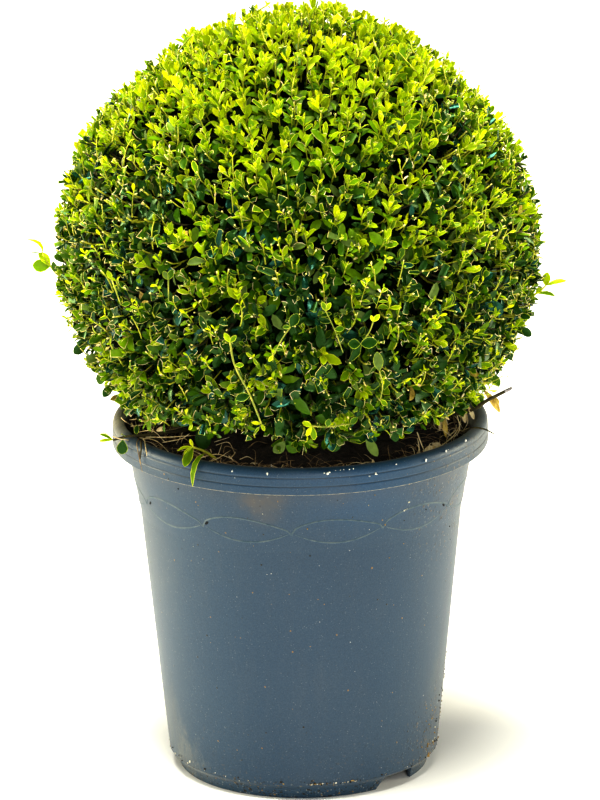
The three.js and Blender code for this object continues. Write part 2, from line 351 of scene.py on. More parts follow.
stains = [  # middle, reach in metres and strength of each smear of dirt on the wall
    ((-12.5, 134, 245), 0.021, 1.0),
    ((-17, 134, 252), 0.014, 0.8),
    ((-8, 135, 256), 0.016, 0.6),
    ((12, 136, 261), 0.02, 0.4),
    ((58, 134, 246), 0.022, 0.35),
    ((66, 131, 228), 0.010, 0.8),
    ((61, 129, 219), 0.007, 0.7),
    ((-58, 131, 233), 0.008, 0.3),
    ((150, 133, 240), 0.020, 0.4),
    ((-128, 120, 150), 0.016, 0.3),
]

dustAndLightSpots = [  # the same for pale patches: painted light on the rim's sides, on the shaded inner rim at the left and on the wall's left and right edges, and pale dust round the foot
    # painted light on the rim's right and left sides
    ((72, 146, 274), 0.05, 0.42),
    ((95, 146, 270), 0.05, 0.4),
    ((-80, 146, 270), 0.06, 0.3),
    # painted light on the inner rim at the left, which lies in the ball's shade
    ((-94, 140, 284), 0.034, 1.5),
    ((-78, 141, 284), 0.022, 1.1),
    # painted light on the wall's right and left edges
    ((84, 128, 225), 0.055, 0.2),
    ((-84, 122, 190), 0.08, 0.17),
    # pale dust round the foot
    ((-74, 108, 42), 0.036, 0.28),
    ((-58, 104, 14), 0.022, 0.4),
    ((76, 110, 70), 0.045, 0.2),
    ((70, 104, 22), 0.026, 0.5),
    ((180, 110, 60), 0.06, 0.3),
]

rimHighlightPatches = [  # painted highlight: where the rim is painted bluer and brighter, as if lit
    ((20, 146, 281), 0.075, 0.8),
    ((-12, 146, 280), 0.05, 0.35),
    ((200, 146, 281), 0.07, 0.4),
]


def specks(at, fine, size, share, axis):  # sparse dots of uneven size and outline
    reach = at.noise(310.0, 2.0, 0.6) * size * 2 - size * 0.35
    dots = (reach - at.cells(fine) + at.noise(fine * 5, 2.0, 0.6) * 0.24 - 0.12).above(0.0, 0.03)
    return dots * at.cells(fine, "Color").axis(axis).above(1 - share, 0.01)


def smears(at, spots, wobble):
    total = 0
    for middle, reach, strength in spots:
        distance = (at - tuple(fromFront(*middle))).size() + wobble
        total = distance.below(reach * 0.6, reach * 0.45) * strength + total
    return total


def near(at, middle, reach, blur):
    return (at - tuple(fromFront(*middle))).size().below(reach, blur)


def paintedGrooveShade(height):  # painted shade: dark lines in the rim's grooves
    lines = 0
    for groove in potShape["grooves"]:
        line = (potHeight - potShape["rimDrop"] + groove) * mm
        lines = height.above(line - 0.0004, 0.0002) * height.below(line + 0.0004, 0.0002) + lines
    return lines


def potFinish():  # moulded plastic with dust, scuffs and splashed grit, with painted highlights on the rim, painted light on the rim's sides and the wall's edges, and painted shade in the grooves
    finish, tools = newFinish("pot_plastic")
    at = ownSpace(tools)
    height = at.axis("Z")
    grain = at.noise(1100.0, 2.0, 0.7)
    streak = (at * (1.0, 1.0, 0.12)).noise(60.0, 4.0, 0.65)
    wobble = at.noise(150.0, 4.0, 0.7) * 0.014 - 0.007
    colour = at.noise(9.0, 4.0, 0.6).above(0.5, 0.22).pick(plastic["deep"], plastic["light"])
    # painted highlight: bluer, brighter patches on the rim
    colour = smears(at, rimHighlightPatches, wobble).pick(colour, plastic["rimHighlight"])
    colour = (height.below(0.0125, 0.0008) * 0.8).pick(colour, plastic["foot"])
    dust = streak.above(0.62, 0.16) * 0.05 + at.noise(4.0, 5.0, 0.7).above(0.6, 0.12) * 0.04
    colour = dust.pick(colour, plastic["dust"])
    colour = (grain.above(0.55, 0.2) * 0.14).pick(colour, plastic["grain"])
    colour = (at.noise(700.0, 2.0, 0.7).below(0.42, 0.12) * 0.3).pick(colour, plastic["mottle"])
    # dirt under the rim, then pale patches in ragged shapes: dust round the foot, and painted light on the
    # rim and the wall's edges
    soiled = height.above(0.25, 0.012) * height.below(0.2605, 0.0008) * 0.2
    soiled = soiled + smears(at, stains, wobble) * 0.45
    colour = soiled.pick(colour, plastic["soiled"])
    scratched = 0.45 + (at * (1.0, 1.0, 0.3)).noise(420.0, 3.0, 0.7) * 1.1
    ragged = (at * (1.0, 1.0, 0.55)).noise(26.0, 6.0, 0.74) * 0.12 - 0.06
    # pale patches: dust round the foot, and painted light on the rim and the wall's edges
    paleDustAndLight = smears(at, dustAndLightSpots, wobble + ragged) * scratched * 0.45
    colour = paleDustAndLight.pick(colour, plastic["paleDustAndLight"])
    # grit is thickest round the foot and at two places on the right
    foot = height.below(0.014, 0.006) * 0.75 + height.below(0.05, 0.035) * 0.12
    gritty = near(at, (66, 132, 235), 0.05, 0.03) * 0.5 + near(at, (76, 108, 30), 0.04, 0.025) * 0.7 + foot
    pale = specks(at, 300.0, 0.16, 0.02, "X") + specks(at, 620.0, 0.3, 0.2, "Y") * 0.18
    pale = pale + specks(at, 430.0, 0.4, 0.3, "X") * gritty * 0.5
    blobs = specks(at, 210.0, 0.22, 0.035, "Y") + specks(at, 230.0, 0.42, 0.5, "X") * gritty
    dark = blobs + specks(at, 480.0, 0.45, 0.5, "X") * gritty
    tan = specks(at, 230.0, 0.21, 0.04, "Z") + specks(at, 330.0, 0.42, 0.2, "Z") * gritty
    scratch = (at * (60.0, 60.0, 22.0)).cells(7.0).below(0.045, 0.02)
    scratch = scratch * at.cells(60.0, "Color").axis("X").above(0.93, 0.01)
    colour = (pale * 0.8).pick(colour, plastic["paleSpeck"])
    colour = tan.pick(colour, plastic["tanSpeck"])
    colour = dark.pick(colour, plastic["darkSpeck"])
    # painted shade in the rim's grooves, and dark scratches
    colour = (paintedGrooveShade(height) * 0.55 + scratch * 0.5).pick(colour, plastic["groove"])
    rough = 0.42 + dust * 0.8 + grain * 0.1 + paleDustAndLight * 0.2
    relief = grain * 0.35 + at.noise(120.0, 3.0) * 0.6 + pale + tan * 1.5 + blobs * 2.0
    sheen = {"Sheen Weight": 0.15, "Sheen Roughness": 0.35, "Sheen Tint": (1.0, 0.94, 0.8)}  # fine dust
    finishWith(tools, {"Base Color": colour, "Roughness": rough, **sheen}, relief, 0.00014)
    return finish


def wornFinish():  # the scraped pale line along the rim's lower edge
    finish, tools = newFinish("worn_edge")
    patch = ownSpace(tools).noise(300.0, 4.0, 0.75).above(0.48, 0.12)
    colour = patch.pick((0.08, 0.095, 0.1), (0.36, 0.32, 0.24))
    finishWith(tools, {"Base Color": colour, "Roughness": 0.75}, patch, 0.0001)
    return finish


def soilFinish():
    finish, tools = newFinish("potting_soil")
    at = ownSpace(tools)
    crumbs = at.noise(420.0, 5.0, 0.7)
    damp = at.noise(60.0, 3.0, 0.6)
    colour = crumbs.above(0.52, 0.16).pick((0.0024, 0.002, 0.0016), (0.04, 0.025, 0.013))
    colour = (damp.above(0.6, 0.1) * 0.4).pick(colour, (0.07, 0.046, 0.026))
    colour = (at.noise(1100.0, 3.0, 0.7).above(0.64, 0.05) * 0.8).pick(colour, (0.24, 0.16, 0.085))
    colour = (at.noise(700.0, 3.0, 0.7).below(0.42, 0.05) * 0.8).pick(colour, (0.001, 0.001, 0.001))
    rough = 0.95 - damp.above(0.55, 0.1) * 0.25
    finishWith(tools, {"Base Color": colour, "Roughness": rough}, crumbs + at.noise(1400.0, 2.0), 0.0012)
    return finish


def plainFinish(name, dark, light, scale, rough, relief=0.0002):  # two tones of one stuff, such as straw
    finish, tools = newFinish(name)
    pattern = (ownSpace(tools) * (1.0, 1.0, 0.5)).noise(scale, 4.0, 0.65)
    colour = pattern.above(0.5, 0.18).pick(dark, light)
    finishWith(tools, {"Base Color": colour, "Roughness": rough + (pattern - 0.5) * 0.3}, pattern, relief)
    return finish


def leafFinish(name, colour, glow, rough, share, gloss, shine):  # some light comes through each leaf
    finish, tools = newFinish(name)
    at = ownSpace(tools)
    fine = at.noise(240.0, 3.0, 0.6)
    broad = at.noise(45.0, 2.0, 0.5)
    dark, light = (tuple(factor * c for c in colour) for factor in (0.7, 1.3))
    inputs = {
        "Base Color": (fine * 0.5 + broad * 0.5).above(0.5, 0.16).pick(dark, light),
        "Roughness": rough + (fine - 0.5) * 0.25,
        "Specular IOR Level": gloss,
        "Specular Tint": shine,
    }
    finishWith(tools, inputs, fine, 0.00025, glow, share)
    return finish


plainLooks = {  # name, two colours, how fine the pattern is, roughness, and relief in metres
    # painted highlight: the raised lines are the wall's plastic, painted lighter as if lit
    "ridge": ("moulded_ridge_highlight", (0.028, 0.066, 0.098), (0.095, 0.13, 0.145), 200.0, 0.5),
    # pale inner wall: dust, and painted light where the ball shades it
    "innerDustAndLight": ("inner_wall_dust_and_painted_light", (0.07, 0.085, 0.095), (0.26, 0.26, 0.24), 90.0, 0.7),
    # painted shade: nearly black, for the hollows at the lenses' ends
    "pit": ("painted_pit_shade", (0.002, 0.003, 0.005), (0.006, 0.008, 0.012), 500.0, 0.9),
    "bark": ("bark", (0.09, 0.06, 0.03), (0.26, 0.2, 0.11), 300.0, 0.85, 0.0008),
    "greenStem": ("green_stem", (0.3, 0.34, 0.008), (0.62, 0.6, 0.05), 200.0, 0.55),
    "faceStem": ("face_stem", (0.14, 0.2, 0.008), (0.46, 0.44, 0.06), 260.0, 0.6),
    "darkTwig": ("dark_twig", (0.02, 0.015, 0.006), (0.09, 0.075, 0.02), 240.0, 0.8, 0.0006),
    "cut": ("cut_end", (0.6, 0.5, 0.12), (0.95, 0.86, 0.36), 500.0, 0.8),
    "greyWood": ("grey_wood", (0.3, 0.27, 0.28), (0.6, 0.56, 0.58), 300.0, 0.8),
    "straw": ("straw", (0.6, 0.43, 0.18), (0.98, 0.86, 0.56), 260.0, 0.8),
    "root": ("root_fibre", (0.11, 0.07, 0.032), (0.48, 0.33, 0.16), 260.0, 0.85),
    "grit": ("grit", (0.55, 0.55, 0.5), (0.85, 0.85, 0.82), 600.0, 0.7),
    "clodPale": ("pale_clod", (0.4, 0.36, 0.26), (0.75, 0.72, 0.62), 600.0, 0.9),
    "clodTan": ("tan_clod", (0.2, 0.12, 0.03), (0.5, 0.34, 0.12), 600.0, 0.9),
    "clodDark": ("dark_clod", (0.006, 0.005, 0.004), (0.04, 0.028, 0.016), 600.0, 0.9),
    "deadLeaf": ("dead_leaf", (0.32, 0.2, 0.02), (0.72, 0.55, 0.12), 240.0, 0.6),
}

finishes = {"pot": potFinish(), "worn": wornFinish(), "soil": soilFinish()}
finishes.update({key: plainFinish(*look) for key, look in plainLooks.items()})

# from the youngest leaf to the oldest, then the odd ones: name, colour, colour of the light that comes
# through, roughness, how much comes through, gloss and its tint; or the name of a plain finish
leafLooks = {
    "bud": ("leaf_bud", (0.66, 0.72, 0.004), (0.8, 0.85, 0.002), 0.45, 0.35, 0.3, (1.0, 1.0, 0.3)),
    "lime": ("leaf_lime", (0.34, 0.46, 0.002), (0.5, 0.66, 0.001), 0.4, 0.3, 0.35, (1.0, 1.0, 0.3)),
    "fresh": ("leaf_fresh", (0.13, 0.25, 0.002), (0.28, 0.48, 0.001), 0.36, 0.25, 0.45, (0.95, 1.0, 0.3)),
    "mid": ("leaf_mid", (0.038, 0.103, 0.002), (0.11, 0.25, 0.001), 0.34, 0.18, 0.45, (0.7, 1.0, 0.25)),
    "deep": ("leaf_deep", (0.01, 0.042, 0.0025), (0.035, 0.11, 0.002), 0.3, 0.1, 0.5, (0.5, 1.0, 0.35)),
    "blue": ("leaf_blue", (0.004, 0.034, 0.016), (0.01, 0.08, 0.03), 0.24, 0.06, 0.7, (0.3, 0.9, 0.7)),
    "pale": ("leaf_pale", (0.11, 0.17, 0.035), (0.16, 0.26, 0.015), 0.45, 0.2, 0.4, (0.9, 1.0, 0.5)),
    "dead": "deadLeaf",
    # painted highlight: the light rim along a leaf's edge
    "rim": ("leaf_rim_highlight", (0.36, 0.43, 0.035), (0.45, 0.58, 0.02), 0.4, 0.15, 0.5, (1.0, 1.0, 0.4)),
    "cut": "cut",
    # painted shade: nearly black leaves deep inside the ball
    "inner": ("leaf_painted_shade", (0.0015, 0.005, 0.001), (0.005, 0.01, 0.001), 0.6, 0.03, 0.1, (0.5, 1.0, 0.4)),
    "straw": "straw",
    "youngRimHighlight": ("young_rim_highlight", (0.74, 0.78, 0.05), (0.8, 0.85, 0.01), 0.4, 0.2, 0.5, (1.0, 1.0, 0.5)),
}
leafTones = [finishes[look] if isinstance(look, str) else leafFinish(*look) for look in leafLooks.values()]
tone = {name: number for number, name in enumerate(leafLooks)}
# the light rims are painted highlights along the leaves' edges
rimTones = ["youngRimHighlight"] * 3 + ["rim"] * 4 + ["dead", "rim", "cut", "inner", "straw", "youngRimHighlight"]
print("finishes made")


leafShape = {"rim": 0.36 * mm, "cutEdge": 0.38 * mm, "fullest": 1.3, "blunt": 0.65, "pieceLimit": 180000}

leafKinds = {  # rows, whether it has a rim, whether the shears cut it, and its triangles
    "dark": ((0.5,), False, False, 4),
    "plain": ((0.25, 0.56, 0.85), False, False, 12),
    "rimmed": ((0.22, 0.55, 0.86), True, False, 26),
    "broad": ((0.1, 0.3, 0.55, 0.78, 0.93), True, False, 42),
    "cut": ((0.35, 1.0), False, True, 10),
    "cutRimmed": ((0.35, 1.0), True, True, 20),
}

# a rim of 1 is light, a painted highlight along the edge, 1.25 bleached on one edge, 2 a broad leaf's, and 3
# as green as the leaf
column = {"length": 9, "width": 10, "fold": 11, "curl": 12, "tone": 13, "kept": 14, "rim": 15}


class Leaves:  # a heap of leaves, kept as rows of a table until they are made
    def __init__(self):
        self.parts = []

    def add(self, root, along, face, length, width, fold, curl, toneOf, kept=1.0, rim=False):
        singles = (length, width, fold, curl, toneOf, kept, rim)
        columns = [np.broadcast_to(np.asarray(v, dtype=float), len(root)) for v in singles]
        self.parts.append(np.column_stack([root, along, face, *columns]))

    def table(self):
        return np.concatenate(self.parts)


def handLeaf(leaves, root, toward, length, width, toneName, face=(0, -0.8, 0.6), curl=0.4, fold=0.3, rim=2):
    row = [np.array([v], dtype=float) for v in (root, unit(np.array(toward, dtype=float)), face)]
    leaves.add(*row, length * mm, width * mm, fold, curl, tone[toneName], 1.0, rim)


def halfWidth(u):  # half the leaf's width, as a share of it, from root to tip
    return 0.5 * np.sin(math.pi * np.clip(u, 0, 1) ** leafShape["fullest"]) ** leafShape["blunt"]


def spreadLeaf(table, u, v):  # the point of each leaf at u along it and v metres across it
    root, along, face = table[:, 0:3], unit(table[:, 3:6]), table[:, 6:9]
    length, fold, curl = (table[:, column[name]] for name in ("length", "fold", "curl"))
    face = unit(face - np.sum(face * along, axis=1, keepdims=True) * along)
    side = np.cross(face, along)
    x = length * u * (1 - (curl * u) ** 2 / 6)
    z = fold * np.abs(v) - length * curl * u * u / 2
    return root + x[:, None] * along + v[:, None] * side + z[:, None] * face


def makeLeaves(table, rows, rim, cut):
    zero = np.zeros(len(table))
    length, width, kept = (table[:, column[name]] for name in ("length", "width", "kept"))
    lines = 5 if rim else 3

    def acrossLeaf(u, outline):  # points on both sides of the fold
        outer = width * halfWidth(outline)
        inner = np.maximum(outer - leafShape["rim"], 0.35 * outer)
        offsets = (-outer, -inner, zero, inner, outer) if rim else (-outer, zero, outer)
        return [spreadLeaf(table, u, v) for v in offsets]

    points = [spreadLeaf(table, zero, zero)]
    for share in rows:
        u = zero + share * (kept if cut else 1)
        points += acrossLeaf(u, u)
    kinds = [1, 0, 0, 3] if rim else [0, 0]  # the rims' faces and the blade's
    faces = [([0, 1 + i, 2 + i], kind) for i, kind in enumerate(kinds)]

    def strip(start, kindOf):
        for i, kind in enumerate(kindOf):
            a = start + i
            faces.extend([([a, a + lines, a + lines + 1], kind), ([a, a + lines + 1, a + 1], kind)])

    last = lines * (len(rows) - 1) + 1
    for start in range(1, last, lines):
        strip(start, kinds)
    if cut:
        points += acrossLeaf(kept + leafShape["cutEdge"] / length, kept)
        strip(last, [2] * (lines - 1))
    elif rim:
        tip = last + lines
        points += [spreadLeaf(table, 1 - leafShape["rim"] / length, zero), spreadLeaf(table, zero + 1, zero)]
        faces += [([last + 1, tip, last + 2], 0), ([last + 2, tip, last + 3], 0)]
        faces += [([last, tip + 1, last + 1], 1), ([last + 1, tip + 1, tip], 1)]
        faces += [([last + 3, tip + 1, last + 4], 3), ([last + 3, tip, tip + 1], 3)]
    else:
        tip = last + lines
        points.append(spreadLeaf(table, zero + 1, zero))
        faces += [([last, tip, last + 1], 0), ([last + 1, tip, last + 2], 0)]
    corners = np.array([face for face, _ in faces])
    kindOf = np.array([kind for _, kind in faces])
    faceList = corners[None] + (np.arange(len(table)) * len(points))[:, None, None]
    shape = (np.stack(points, axis=1).reshape(-1, 3), faceList.reshape(-1, 3))
    return shape, leafSides(table)[:, kindOf].ravel()


def leafSides(table):  # the finishes of each leaf's blade, one rim, cut edge and other rim
    toneOf = table[:, column["tone"]].astype(int)
    rim = table[:, column["rim"]]
    rimOf = np.where(rim > 2.5, toneOf, np.array([tone[name] for name in rimTones])[toneOf])
    dry = rim % 1 > 0.1  # one edge is bleached and the other green
    turn = np.arange(len(table)) % 5
    bleached = np.where(turn < 2, tone["straw"], tone["cut"])
    shorn = np.select([turn < 2, turn == 2], [tone["straw"], tone["rim"]], tone["cut"])
    return np.stack([toneOf, np.where(dry, toneOf, rimOf), shorn, np.where(dry, bleached, rimOf)], axis=1)


def layLeaves(name, leaves):
    table = leaves.table()
    cut = table[:, column["kept"]] < 0.999
    rimmed, broad = (table[:, column["rim"]] > least for least in (0.5, 1.5))
    dark = table[:, column["tone"]] == tone["inner"]
    tests = {"dark": dark, "cutRimmed": cut & rimmed, "cut": cut, "broad": broad, "rimmed": rimmed}
    kindOf = np.select(list(tests.values()), list(tests), "plain")
    pieces = []
    total = 0
    for kind, (rows, rim, cutHere, perLeaf) in leafKinds.items():
        chosen = table[kindOf == kind]
        total += len(chosen) * perLeaf
        if len(chosen) == 0:
            continue
        parts = max(1, math.ceil(len(chosen) * perLeaf / leafShape["pieceLimit"]))
        for part, some in enumerate(np.array_split(chosen, parts)):
            shape, finishOf = makeLeaves(some, rows, rim, cutHere)
            pieces.append(makePiece(f"{name}_{kind}_{part + 1}", shape, leafTones, finishOf))
    print(f"{name}: {len(table)} leaves, {total} faces")
    return pieces


def potWall(height):  # the wall's outer radius at a height, in mm
    radii, heights = zip(*(potShape[name] for name in ("step", "band", "neck")))
    return np.interp(height, heights, radii)


def arc(middle, radius, start, end, steps):  # points on a part of a circle, in degrees
    turns = np.radians(np.linspace(start, end, steps))
    return [(middle[0] + radius * math.cos(a), middle[1] + radius * math.sin(a)) for a in turns]


def rimProfile():
    low = potHeight - potShape["rimDrop"]
    wall = potShape["wall"]
    grooved = []
    for h in np.linspace(1.0, 14.0, 27):
        radius, height = rimRadius - 0.25 * (h / 14) ** 2, low + h
        away = min(abs(height - low - g) for g in potShape["grooves"])
        grooved.append((radius - potShape["grooveDepth"] * max(0, 1 - away / 0.7), height))
    shoulder = arc((rimRadius - 6.0, potHeight - 5.6), 5.6, 8, 82, 9)
    lip = arc((rimRadius - 6.8, potHeight - 1.6), 1.6, 95, 175, 5)
    under = [(rimRadius - wall, low + 0.3), (rimRadius - wall + 0.6, low)]
    return under + [(rimRadius - 0.3, low), (rimRadius, low + 0.4)] + grooved + shoulder + lip


def makePot():
    foot, step, neck = (potShape[k] for k in ("foot", "step", "neck"))
    pan, gutter, floor, wall = (potShape[k] for k in ("pan", "gutter", "floor", "wall"))
    outside = [(foot[0], 0.0), (foot[0] + 0.6, 0.5)]
    outside += [(foot[0] + 4 * h / foot[1], h) for h in np.linspace(1.5, foot[1], 4)]
    outside += [(foot[0] + 4.6, foot[1] + 0.6), (step[0] - 0.7, step[1] - 0.5), (step[0], step[1] + 0.2)]
    for low, high, rings in ((15, 206, 30), (207, 212, 5), (216, 271, 16)):
        outside += [(potWall(h), h) for h in np.linspace(low, high, rings)]
    throat = rimRadius - wall
    outside += [(neck[0] + 0.8, neck[1]), (throat - 0.9, neck[1]), (throat, neck[1] - 1.5)]
    inside = [(potWall(h) - wall, h) for h in np.linspace(270, gutter + floor + 1, 24)]
    base = [(pan + 5.2, gutter + floor), (pan - 1, floor), (0.01, floor)]
    base += [(0.01, 0.0), (pan - 1, 0.0), (pan, 0.1), (pan + 6, gutter)]
    base += [(foot[0] + 1.0, gutter), (foot[0] - wall, 0.4), (foot[0] - wall + 0.4, 0.0)]
    points, faces = lathe(outside + rimProfile() + inside + base, potShape["around"])
    centre = points[faces].mean(axis=1)
    spread = np.hypot(centre[:, 0], centre[:, 1])
    rimFoot = (potHeight - potShape["rimDrop"]) * mm
    worn = (spread > (rimRadius - 1.2) * mm) & (np.abs(centre[:, 2] - rimFoot - 0.1 * mm) < 0.6 * mm)
    within = np.minimum(potWall(centre[:, 2] / mm) - 0.5, potShape["innerDustAndLightWithin"])
    # pale inner wall above the soil: dust and painted light
    innerDustAndLight = (centre[:, 2] > potShape["innerDustAndLightAbove"] * mm) & (spread / mm < within)
    skins = [finishes[name] for name in ("pot", "worn", "innerDustAndLight")]
    finishOf = np.select([worn, innerDustAndLight], [1, 2], 0)
    pot = makePiece("pot_shell", (points, faces), skins, finishOf)
    for corners, sides in notches() + drains():
        cutAway(pot, corners, sides)
    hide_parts("pot")


def notches():  # in the foot ring, narrower at the top
    foot = potShape["foot"][0]
    wide, narrow = potShape["notchWidths"]
    blocks = []
    for degrees in potShape["notchAngles"]:
        angle = math.radians(degrees)
        corners = []
        for reach in (foot - 14, foot + 14):
            for across, height in ((-wide / 2, -1), (wide / 2, -1), (narrow / 2, 11.5), (-narrow / 2, 11.5)):
                x = reach * math.sin(angle) + across * math.cos(angle)
                y = -reach * math.cos(angle) + across * math.sin(angle)
                corners.append((x * mm, y * mm, height * mm))
        sides = [(0, 3, 2, 1), (4, 5, 6, 7), (0, 1, 5, 4), (1, 2, 6, 5), (2, 3, 7, 6), (3, 0, 4, 7)]
        blocks.append((corners, sides))
    return blocks


def drains():  # round holes in the floor
    count, reach, size, n = (potShape["drains"][key] for key in ("count", "reach", "radius", "sides"))
    plugs = []
    for i in range(count):
        angle = (i + 0.5) / count * 2 * math.pi
        cos, sin = math.cos(angle), math.sin(angle)
        ring = [(reach + size * math.cos(t), size * math.sin(t)) for t in circle(n)]
        turned = [(r * cos - s * sin, r * sin + s * cos) for r, s in ring]
        corners = [(x * mm, y * mm, h * mm) for h in (2, 22) for x, y in turned]
        sides = [(k, (k + 1) % n, (k + 1) % n + n, k + n) for k in range(n)]
        plugs.append((corners, sides + [tuple(range(n - 1, -1, -1)), tuple(range(n, 2 * n))]))
    return plugs


def cutAway(piece, corners, sides):
    mesh = bpy.data.meshes.new("cutter")
    mesh.from_pydata(corners, [], sides)
    cutter = addObject("cutter", mesh)
    cut = piece.modifiers.new("cut", "BOOLEAN")
    cut.operation = "DIFFERENCE"
    cut.solver = "MANIFOLD"
    cut.object = cutter
    graph = bpy.context.evaluated_depsgraph_get()
    piece.data = bpy.data.meshes.new_from_object(piece.evaluated_get(graph))
    piece.modifiers.clear()
    bpy.data.objects.remove(cutter)


garland = {
    "lenses": 11,
    "middle": 225.8,
    "half": 9.8,
    "firstJoint": -3.4,
    "width": 0.66,
    "stand": 0.3,
    "dip": 2.4,  # the little v where two lenses meet
    "joint": 0.045,  # and its half width, as a share of a lens
    "gap": 0.035,
    "steps": 160,  # in each lens
    "paintedPitShades": ((-66.5, 1), (-36, 1), (60.3, -1), (96, -1), (161, 1), (-103, 1), (-135, -1)),  # angle and side
    "pitShadeSize": (2.4, 1.2, 0.3),
}


def raisedLine(angle, height, closed):  # a low rounded bead on the wall
    (low, foot), (high, head) = potShape["band"], potShape["neck"]
    radius = low + (high - low) / (head - foot) * (height - foot)
    outward = np.stack([np.sin(angle), -np.cos(angle), 0 * angle], axis=1)
    middle = outward * radius[:, None] + up * height[:, None]
    if closed:
        along = np.roll(middle, -1, axis=0) - np.roll(middle, 1, axis=0)
        size = np.ones(len(angle))
    else:
        along = np.gradient(middle, axis=0)
        size = np.sin(np.linspace(0.12, math.pi - 0.12, len(angle))) ** 0.4
    across = unit(np.cross(unit(along), outward))
    rings = []
    for turn in np.linspace(0, math.pi, 7):
        lift = (garland["stand"] * math.sin(turn) * size - 0.05)[:, None]
        rings.append(middle + across * (garland["width"] * math.cos(turn) * size)[:, None] + outward * lift)
    rings.append(middle - outward * 0.6)
    walls, cap = wallFaces(len(angle), len(rings), closed), capFaces(len(rings))
    faces = [walls[:, [0, 3, 2]], walls[:, [0, 2, 1]]]
    if not closed:
        faces += [cap, cap[:, [0, 2, 1]] + (len(angle) - 1) * len(rings)]
    return np.stack(rings, axis=1).reshape(-1, 3) * mm, np.concatenate(faces)


def makeGarland():  # two thin raised lines that ring the pot with lens shapes, painted lighter than the wall as a highlight
    count, steps, middle, half = (garland[name] for name in ("lenses", "steps", "middle", "half"))
    each = 2 * math.pi / count
    first = math.radians(garland["firstJoint"])
    u = (np.arange(count * steps) / steps) % 1
    joint = np.clip(1 - np.minimum(u, 1 - u) / garland["joint"], 0, 1)
    top = middle + half * np.sin(math.pi * u**0.78) ** 0.85 - garland["dip"] * joint
    lines = [raisedLine(first + np.arange(len(u)) / steps * each, top, True)]
    v = np.linspace(garland["gap"], 1 - garland["gap"], 120)
    bottom = middle - half * np.sin(math.pi * v) ** 0.8
    lines += [raisedLine(first + (lens + v) * each, bottom, False) for lens in range(count)]
    makePiece("pot_garland", join(lines), "ridge")
    corners, faces = lathe([(0.01, 1), (0.55, 0.8), (0.9, 0.35), (1, 0), (0.01, -0.4)], 14)
    length, width, depth = garland["pitShadeSize"]
    paintedPitShades = []
    for degrees, side in garland["paintedPitShades"]:  # painted shade: small dark lumps that stand for hollows at the ends of some lenses
        degrees += side * 1.7
        angle = math.radians(degrees)
        outward = np.array([math.sin(angle), -math.cos(angle), 0])
        across = np.array([math.cos(angle), math.sin(angle), 0]) * side
        long = unit(across * 0.7 + up * 0.7)
        short = np.cross(outward, long)
        at = fromFront(degrees, potWall(middle + 1.8), middle + 1.8)
        pit = corners[:, :1] * long * length + corners[:, 1:2] * short * width
        paintedPitShades.append((at + (pit + corners[:, 2:] * outward * depth), faces))
    makePiece("garland_painted_pit_shade", join(paintedPitShades), "pit")


makePot()
makeGarland()
print("pot made")


soilShape = {
    "level": 268.0,
    "slope": -0.045,  # higher at the left
    "lump": 2.2,
    "pad": 24.0,  # level round the stem
    "around": 560,
    "gap": 0.25,  # from the pot's wall
    "crumbs": 3000,
    "crumbRing": (92, 130),  # from and to which distance from the middle they lie
    "fibres": 700,
    "fibreRing": (92, 129),
    "fibreLength": (6, 28),
    "thick": 0.45,  # the radius at which a root is drawn as a straw
    "tuftReach": (108, 129),
    "tuftLimit": 0.131,  # metres from the middle that a loose fibre stays within
    "grit": 26,
    "gritRing": (100, 130),
}


def soilTop(x, y):  # height in mm at a place in mm
    far = np.maximum(0, np.hypot(x, y) - soilShape["pad"])
    fade = np.minimum(1, far / 30)
    waves = np.sin(x * 0.061 + 1.3) * np.cos(y * 0.073) + 0.5 * np.sin(x * 0.13 - y * 0.11)
    return soilShape["level"] + fade * (soilShape["slope"] * x + soilShape["lump"] * waves)


def soilBump(x, y):
    flat = np.stack([x, y, 0 * x], axis=-1).reshape(-1, 3)
    bump = 2.0 * lumps(flat, 14, 1) + 1.5 * lumps(flat, 6, 2) + 0.9 * lumps(flat, 2.6, 3)
    return bump.reshape(x.shape)


def makeSoil():
    around = soilShape["around"]
    wallGap = potShape["wall"] + soilShape["gap"]
    outer = 0.5 * (potWall(soilShape["level"]) - wallGap) + 66
    radii = np.concatenate([np.linspace(0.5, 88, 22), np.linspace(90, outer, 40)])
    x, y = radii[:, None] * np.sin(circle(around)), -radii[:, None] * np.cos(circle(around))
    z = soilTop(x, y) + soilBump(x, y) * np.clip((radii[:, None] - 20) / 30, 0, 1)
    edge = np.array([potWall(h) - wallGap for h in z[-1]])
    x[-1], y[-1] = edge * np.sin(circle(around)), -edge * np.cos(circle(around))
    rings = [np.stack([x, y, z], axis=-1)]
    below = [(potWall(height) - wallGap, height) for height in (250.0, 208.0, 100.0, 15.0)]
    for radius, height in below + [(0.5, 14.2)]:
        x, y = radius * np.sin(circle(around)), -radius * np.cos(circle(around))
        rings.append(np.stack([x, y, 0 * x + height], axis=-1)[None])
    points = np.concatenate(rings).reshape(-1, 3) * mm
    faces = wallFaces(len(points) // around, around, True)[:, ::-1]
    soil = makePiece("soil_bed", (points, faces), "soil")
    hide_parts("soil")


def onSoil(count, ring):  # seeded places on the soil, more of them towards the wall
    radius = between(ring, count, 0.8)
    angle = anyAngle(count)
    x, y = radius * np.sin(angle), -radius * np.cos(angle)
    return np.stack([x, y, soilTop(x, y) + soilBump(x, y)], axis=-1)


